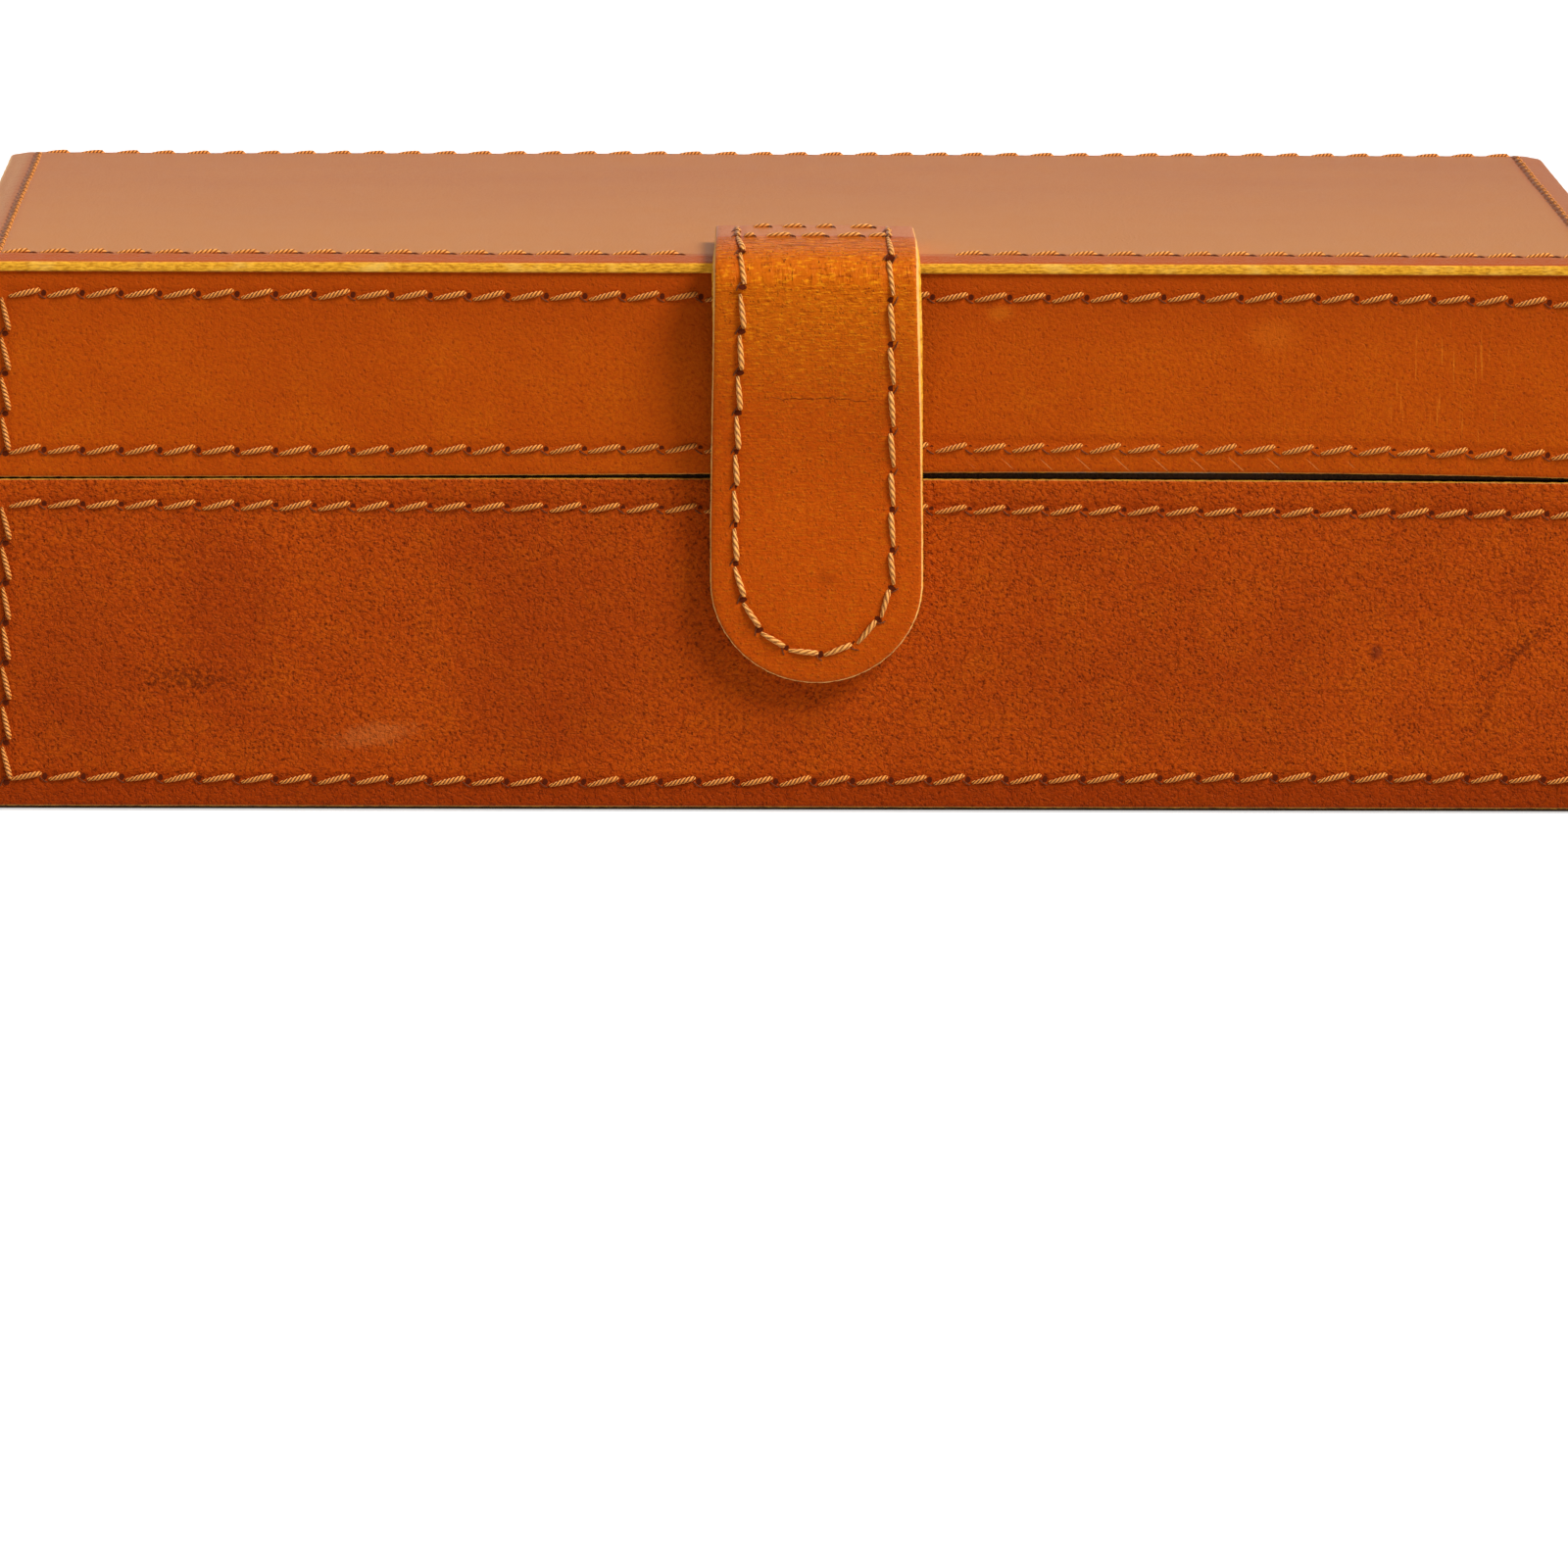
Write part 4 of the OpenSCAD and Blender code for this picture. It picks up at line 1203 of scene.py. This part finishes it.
def sewing_tree():
    """Geometry Nodes: at each mark a stitch, a dark disc of painted shade for its hole, and the loop of the
    thread below.
    """
    tree = bpy.data.node_groups.new("lockstitch", "GeometryNodeTree")
    add_sockets(tree, "INPUT", (
        ("Marks", "Geometry"), ("Pitch", "Float"), ("Gap", "Float"), ("Thread width", "Float"),
        ("Lift", "Float"), ("Lean", "Float"), ("Lean spread", "Float"), ("Hole size", "Vector"),
        ("Seed", "Int"), ("Thread", "Material"), ("Hole", "Material"),
    ))
    add_sockets(tree, "OUTPUT", (("Sewing", "Geometry"),))
    given = put(tree, "NodeGroupInput").outputs

    def vector(x, y, z):
        return put(tree, "ShaderNodeCombineXYZ", {0: x, 1: y, 2: z}).outputs[0]

    def named(name, kind):
        return put(tree, "GeometryNodeInputNamedAttribute", {"Name": name}, data_type=kind).outputs[0]

    def keep(geometry, name, value, kind="FLOAT"):
        feeds = {"Geometry": geometry, "Name": name, "Value": value}
        return put(tree, "GeometryNodeStoreNamedAttribute", feeds, data_type=kind).outputs[0]

    def tube(curve, radius, sides, swell=None):
        circle = {"Resolution": sides, "Radius": radius}
        ring = put(tree, "GeometryNodeCurvePrimitiveCircle", circle).outputs[0]
        at = put(tree, "GeometryNodeInputPosition").outputs[0]
        unit = put(tree, "ShaderNodeVectorMath", {0: at}, operation="NORMALIZE").outputs[0]
        ring = keep(ring, "ring", unit, "FLOAT_VECTOR")
        feeds = {"Curve": curve, "Profile Curve": ring, "Fill Caps": True}
        if swell:
            feeds["Scale"] = swell
        return put(tree, "GeometryNodeCurveToMesh", feeds).outputs[0]

    # The stitch: a short rope that rises out of one hole, leans, and dives into the next
    half = times(tree, maths(tree, "SUBTRACT", given["Pitch"], given["Gap"]), 0.5)
    ends = {"Start": vector(times(tree, half, -1.0), 0.0, 0.0), "End": vector(half, 0.0, 0.0)}
    line = put(tree, "GeometryNodeCurvePrimitiveLine", ends).outputs[0]
    line = put(tree, "GeometryNodeResampleCurve", {"Curve": line, "Count": 9}).outputs[0]
    share = put(tree, "GeometryNodeSplineParameter").outputs["Factor"]
    signed = maths(tree, "MULTIPLY_ADD", share, 2.0, -1.0)
    steep = maths(tree, "POWER", times(tree, signed, signed), 4.0)
    rise = maths(tree, "SUBTRACT", 1.0, steep)
    tilt = maths(tree, "MULTIPLY_ADD", signed, 0.5, 1.0)
    up = times(tree, rise, tilt, given["Lift"])
    line = keep(line, "run", share)
    line = put(tree, "GeometryNodeSetPosition", {"Geometry": line, "Offset": vector(0.0, 0.0, up)}).outputs[0]
    radius = times(tree, given["Thread width"], 0.5)
    taper = stepped(tree, share, 0.0, 0.45, 0.6, 1.0)
    blunt = stepped(tree, share, 0.9, 1.0, 1.0, 0.72)
    rope = tube(line, radius, 6, times(tree, taper, blunt))
    rope = keep(rope, "fine", 0.0)

    # The loop of the thread below, which shows beside the hole
    hole_x = times(tree, given["Pitch"], 0.5)
    loop = put(tree, "GeometryNodeCurveQuadraticBezier", {
        "Resolution": 4,
        "Start": vector(maths(tree, "SUBTRACT", hole_x, 0.75 * MM), -0.12 * MM, 0.02 * MM),
        "Middle": vector(maths(tree, "SUBTRACT", hole_x, 0.2 * MM), -0.62 * MM, 0.42 * MM),
        "End": vector(maths(tree, "ADD", hole_x, 0.4 * MM), -0.85 * MM, 0.0),
    }).outputs[0]
    loop = keep(loop, "run", 0.0)
    loop = tube(loop, times(tree, given["Thread width"], 0.11), 4)
    loop = keep(loop, "fine", 1.0)

    # The pricked hole, as a dark disc on the leather: painted shade for the hole's depth
    disc = put(tree, "GeometryNodeMeshCircle", {"Vertices": 8, "Radius": 1.0}, fill_type="TRIANGLE_FAN")
    prick = put(tree, "GeometryNodeTransform", {
        "Geometry": disc.outputs[0],
        "Translation": vector(hole_x, 0.0, 0.04 * MM),
        "Scale": given["Hole size"],
    }).outputs[0]

    # All three lie along their mark, and the stitch leans a little more or less than the last one
    axes = {0: named("along", "FLOAT_VECTOR"), 1: named("out", "FLOAT_VECTOR")}
    frame_turn = put(
        tree, "FunctionNodeAxesToRotation", axes, primary_axis="X", secondary_axis="Z").outputs[0]
    chance = {2: -1.0, 3: 1.0, "Seed": given["Seed"]}
    spread = put(tree, "FunctionNodeRandomValue", chance, data_type="FLOAT").outputs[1]
    lean = maths(tree, "MULTIPLY_ADD", spread, given["Lean spread"], given["Lean"])
    by = put(tree, "FunctionNodeAxisAngleToRotation", {"Axis": (0, 0, 1), "Angle": lean}).outputs[0]
    turns = {"Rotation": frame_turn, "Rotate By": by}
    leaned = put(tree, "FunctionNodeRotateRotation", turns, rotation_space="LOCAL").outputs[0]
    stretch = maths(tree, "DIVIDE", named("reach", "FLOAT"), given["Pitch"])
    size = vector(stretch, 1.0, 1.0)

    def placed(shape, turn, material):
        feeds = {"Points": given["Marks"], "Instance": shape, "Rotation": turn, "Scale": size}
        copies = put(tree, "GeometryNodeInstanceOnPoints", feeds).outputs[0]
        solid = put(tree, "GeometryNodeRealizeInstances", {"Geometry": copies}).outputs[0]
        solid = put(tree, "GeometryNodeSetShadeSmooth", {"Geometry": solid}).outputs[0]
        return put(tree, "GeometryNodeSetMaterial", {"Geometry": solid, "Material": material}).outputs[0]

    joined = put(tree, "GeometryNodeJoinGeometry")
    for part in (placed(prick, frame_turn, given["Hole"]), placed(loop, frame_turn, given["Thread"]),
                 placed(rope, leaned, given["Thread"])):
        tree.links.new(part, joined.inputs[0])
    put(tree, "NodeGroupOutput", {"Sewing": joined.outputs[0]})
    return tree


lockstitch = sewing_tree()
thread_material, tree = new_material("waxed_thread")
ring_x, ring_y, _ = split(tree, kept_value(tree, "ring", "Vector"))
angle = maths(tree, "ARCTAN2", ring_y, ring_x)
pitches = maths(tree, "DIVIDE", kept_value(tree, "reach"), stitch_pitch * MM)
run = times(tree, kept_value(tree, "run"), pitches)
smooth_ply = kept_value(tree, "smooth_ply")
ply_turns = maths(tree, "MULTIPLY_ADD", smooth_ply, -10.0, 21.0)
phase = maths(tree, "MULTIPLY_ADD", run, ply_turns, times(tree, angle, 1.5))
ply = maths(tree, "ABSOLUTE", maths(tree, "COSINE", phase))
fibre = noise_of(tree, object_place(tree), 5000, 2.0)
ply_height = maths(tree, "MULTIPLY_ADD", fibre, 0.15, ply)
# Painted shade and highlight on the twist: the ply's valleys are painted dark and its crests bright
shaded_valley_tint = blended_tint(tree, smooth_ply, (0.24, 0.042, 0.004), (0.6, 0.18, 0.026))
lit_crest_tint = blended_tint(tree, smooth_ply, (0.95, 0.34, 0.055), (1.0, 0.47, 0.11))
tint = blended_tint(tree, stepped(tree, ply, 0.25, 0.9), shaded_valley_tint, lit_crest_tint)
tint = laid_over(tree, tint, (0.5, 0.14, 0.017), kept_value(tree, "tone"), 0.25)
tint = laid_over(tree, tint, (0.24, 0.045, 0.016), kept_value(tree, "fine"), 0.9)
finish_material(tree, {
    "Base Color": tint,
    "Roughness": 0.42,
    "Specular IOR Level": 0.45,
    "Specular Tint": (1.0, 0.85, 0.65, 1),
    "Normal": bumped(tree, ply_height, 0.0002),
})
# The hole's disc is painted shade, dark red-brown and a little mottled
hole_shade_material, tree = new_material("pricked_hole_shade")
hole_shade_mottle = noise_of(tree, object_place(tree), 2500, 2.0)
finish_material(tree, {
    "Base Color": blended_tint(tree, hole_shade_mottle, (0.05, 0.008, 0.003), (0.13, 0.02, 0.006)),
    "Roughness": stepped(tree, hole_shade_mottle, 0, 1, 0.8, 1.0),
    "Specular IOR Level": 0.0,
})


def sew(name, marks, seed, smooth=0.0, hole=(0.36, 0.46), gap=1.05, lean=13.5, lift=0.25, width=0.79):
    """Sews every mark, and returns the sewing as one plain mesh."""
    points = bpy.data.meshes.new(name)
    points.from_pydata([tuple(mark[0] * MM) for mark in marks], [], [])
    chance = np.random.default_rng(seed)
    for attribute, kind, field, values in (
        ("along", "FLOAT_VECTOR", "vector", np.array([mark[1] for mark in marks])),
        ("out", "FLOAT_VECTOR", "vector", np.array([mark[2] for mark in marks])),
        ("reach", "FLOAT", "value", np.array([mark[3] * MM for mark in marks])),
        ("tone", "FLOAT", "value", chance.random(len(marks))),
        ("smooth_ply", "FLOAT", "value", np.full(len(marks), smooth)),
    ):
        points.attributes.new(attribute, kind, "POINT").data.foreach_set(field, values.ravel())
    made = bpy.data.objects.new(name, points)
    scene.collection.objects.link(made)
    sewing = made.modifiers.new("sewing", "NODES")
    sewing.node_group = lockstitch
    inputs = {
        "Pitch": stitch_pitch * MM, "Gap": gap * MM, "Thread width": width * MM, "Lift": lift * MM,
        "Lean": math.radians(lean), "Lean spread": math.radians(2.2), "Seed": seed,
        "Hole size": (hole[0] * MM, hole[1] * MM, 1.0), "Thread": thread_material, "Hole": hole_shade_material,
    }
    for item in lockstitch.interface.items_tree:
        if item.name in inputs and item.in_out == "INPUT":
            sewing[item.identifier] = inputs[item.name]
    bpy.context.view_layer.update()
    plain = bpy.data.meshes.new_from_object(made.evaluated_get(bpy.context.evaluated_depsgraph_get()))
    bpy.data.objects.remove(made)
    done = bpy.data.objects.new(name, plain)
    scene.collection.objects.link(done)
    return done


strap_skip = (strap_x - strap_half - 1, strap_x + strap_half + 1)
for seed, part in enumerate(("base", "lid"), 1):
    marks = []
    for side in wall_names:
        wall = walls[part, side]
        marks += seam_marks(wall_holes(wall), wall.place, wall.height)
    sewing = sew(f"{part}_stitching", marks, seed)
    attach(sewing, part)
    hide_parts(*(f"{part}_{side}_thread" for side in wall_names))

# Hands have rubbed the lid's front row smooth. Its other rows lie deeper in the leather.
marks = []
smoothness = []
for row in wall_holes(top_wall, strap_skip):
    row_marks = seam_marks([row], top_wall.place, top_wall.height)
    in_front = row[0][1] < 0 and row[-1][1] < 0
    smooth, sunk = (0.35, 0.0) if in_front else (0.0, 0.15)
    smoothness += [smooth] * len(row_marks)
    marks += [(middle - sunk * out, along, out, reach) for middle, along, out, reach in row_marks]
top_stitching = sew("lid_top_stitching", marks, 3, smooth=smoothness, lift=0.24, width=0.8, gap=1.4)
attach(top_stitching, "lid")
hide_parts("lid_top_thread")

back_row = strap_margin + 0.5
front_row = flat_end + 0.2
corner_x = 10.5
back_dashes = ((-8.8, -6.1), (-4.75, -1.45), (-0.05, 2.7), (4.65, 8.35))
front_dashes = ((-10.1, -8.4), (-7.2, -3.1), (-2.3, 1.6), (2.65, 6.6), (7.1, 10.0))
cross_rows = [[(a, back_row) for a in ends] for ends in back_dashes]
cross_rows += [[(a, front_row) for a in ends] for ends in front_dashes]
for side in (-1, 1):
    cross_rows.append([(seam_x + side * corner_x, b) for b in np.linspace(back_row, front_row, 3)])
marks = seam_marks(cross_rows, strap_place, outer_height)
anchor_stitching = sew(
    "strap_anchor_stitching", marks, 4, smooth=0.5, hole=(0.34, 0.5), gap=0.9, lean=4.0,
    lift=0.18, width=0.78)
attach(anchor_stitching, "lid")
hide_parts("strap_anchor_thread")

# The holes of the seam down the strap's left side, round its tip and up its right side
left_holes = [
    (-10.2, 22.8), (-10.1, 26.2), (-10.3, 31.75), (-10.55, 37.45), (-10.8, 43.15), (-11.0, 48.8),
    (-11.2, 54.05), (-11.2, 59.35), (-11.2, 64.7),
]
tip_holes = [
    (-10.2, 69.75), (-7.9, 74.0), (-4.25, 76.6), (0.6, 77.4), (5.3, 76.05), (8.6, 72.45), (10.45, 68.05),
]
right_holes = [(10.5, b) for b in (62.75, 57.1, 51.45, 45.6, 39.6, 33.45, 27.45)] + [(10.35, 23.7)]
strap_rows = [
    left_holes + tip_holes + right_holes,
    [(-10.7, front_row + 0.3), left_holes[0]],
    [(10.2, front_row + 0.3), right_holes[-1]],
]
marks = seam_marks(strap_rows, strap_place, outer_height)
strap_stitching = sew(
    "strap_stitching", marks, 5, smooth=0.85, hole=(0.36, 0.62), gap=0.95, lean=6.0, lift=0.22, width=0.8)
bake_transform(strap_stitching)
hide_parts("strap_bend_thread", "strap_tongue_thread")
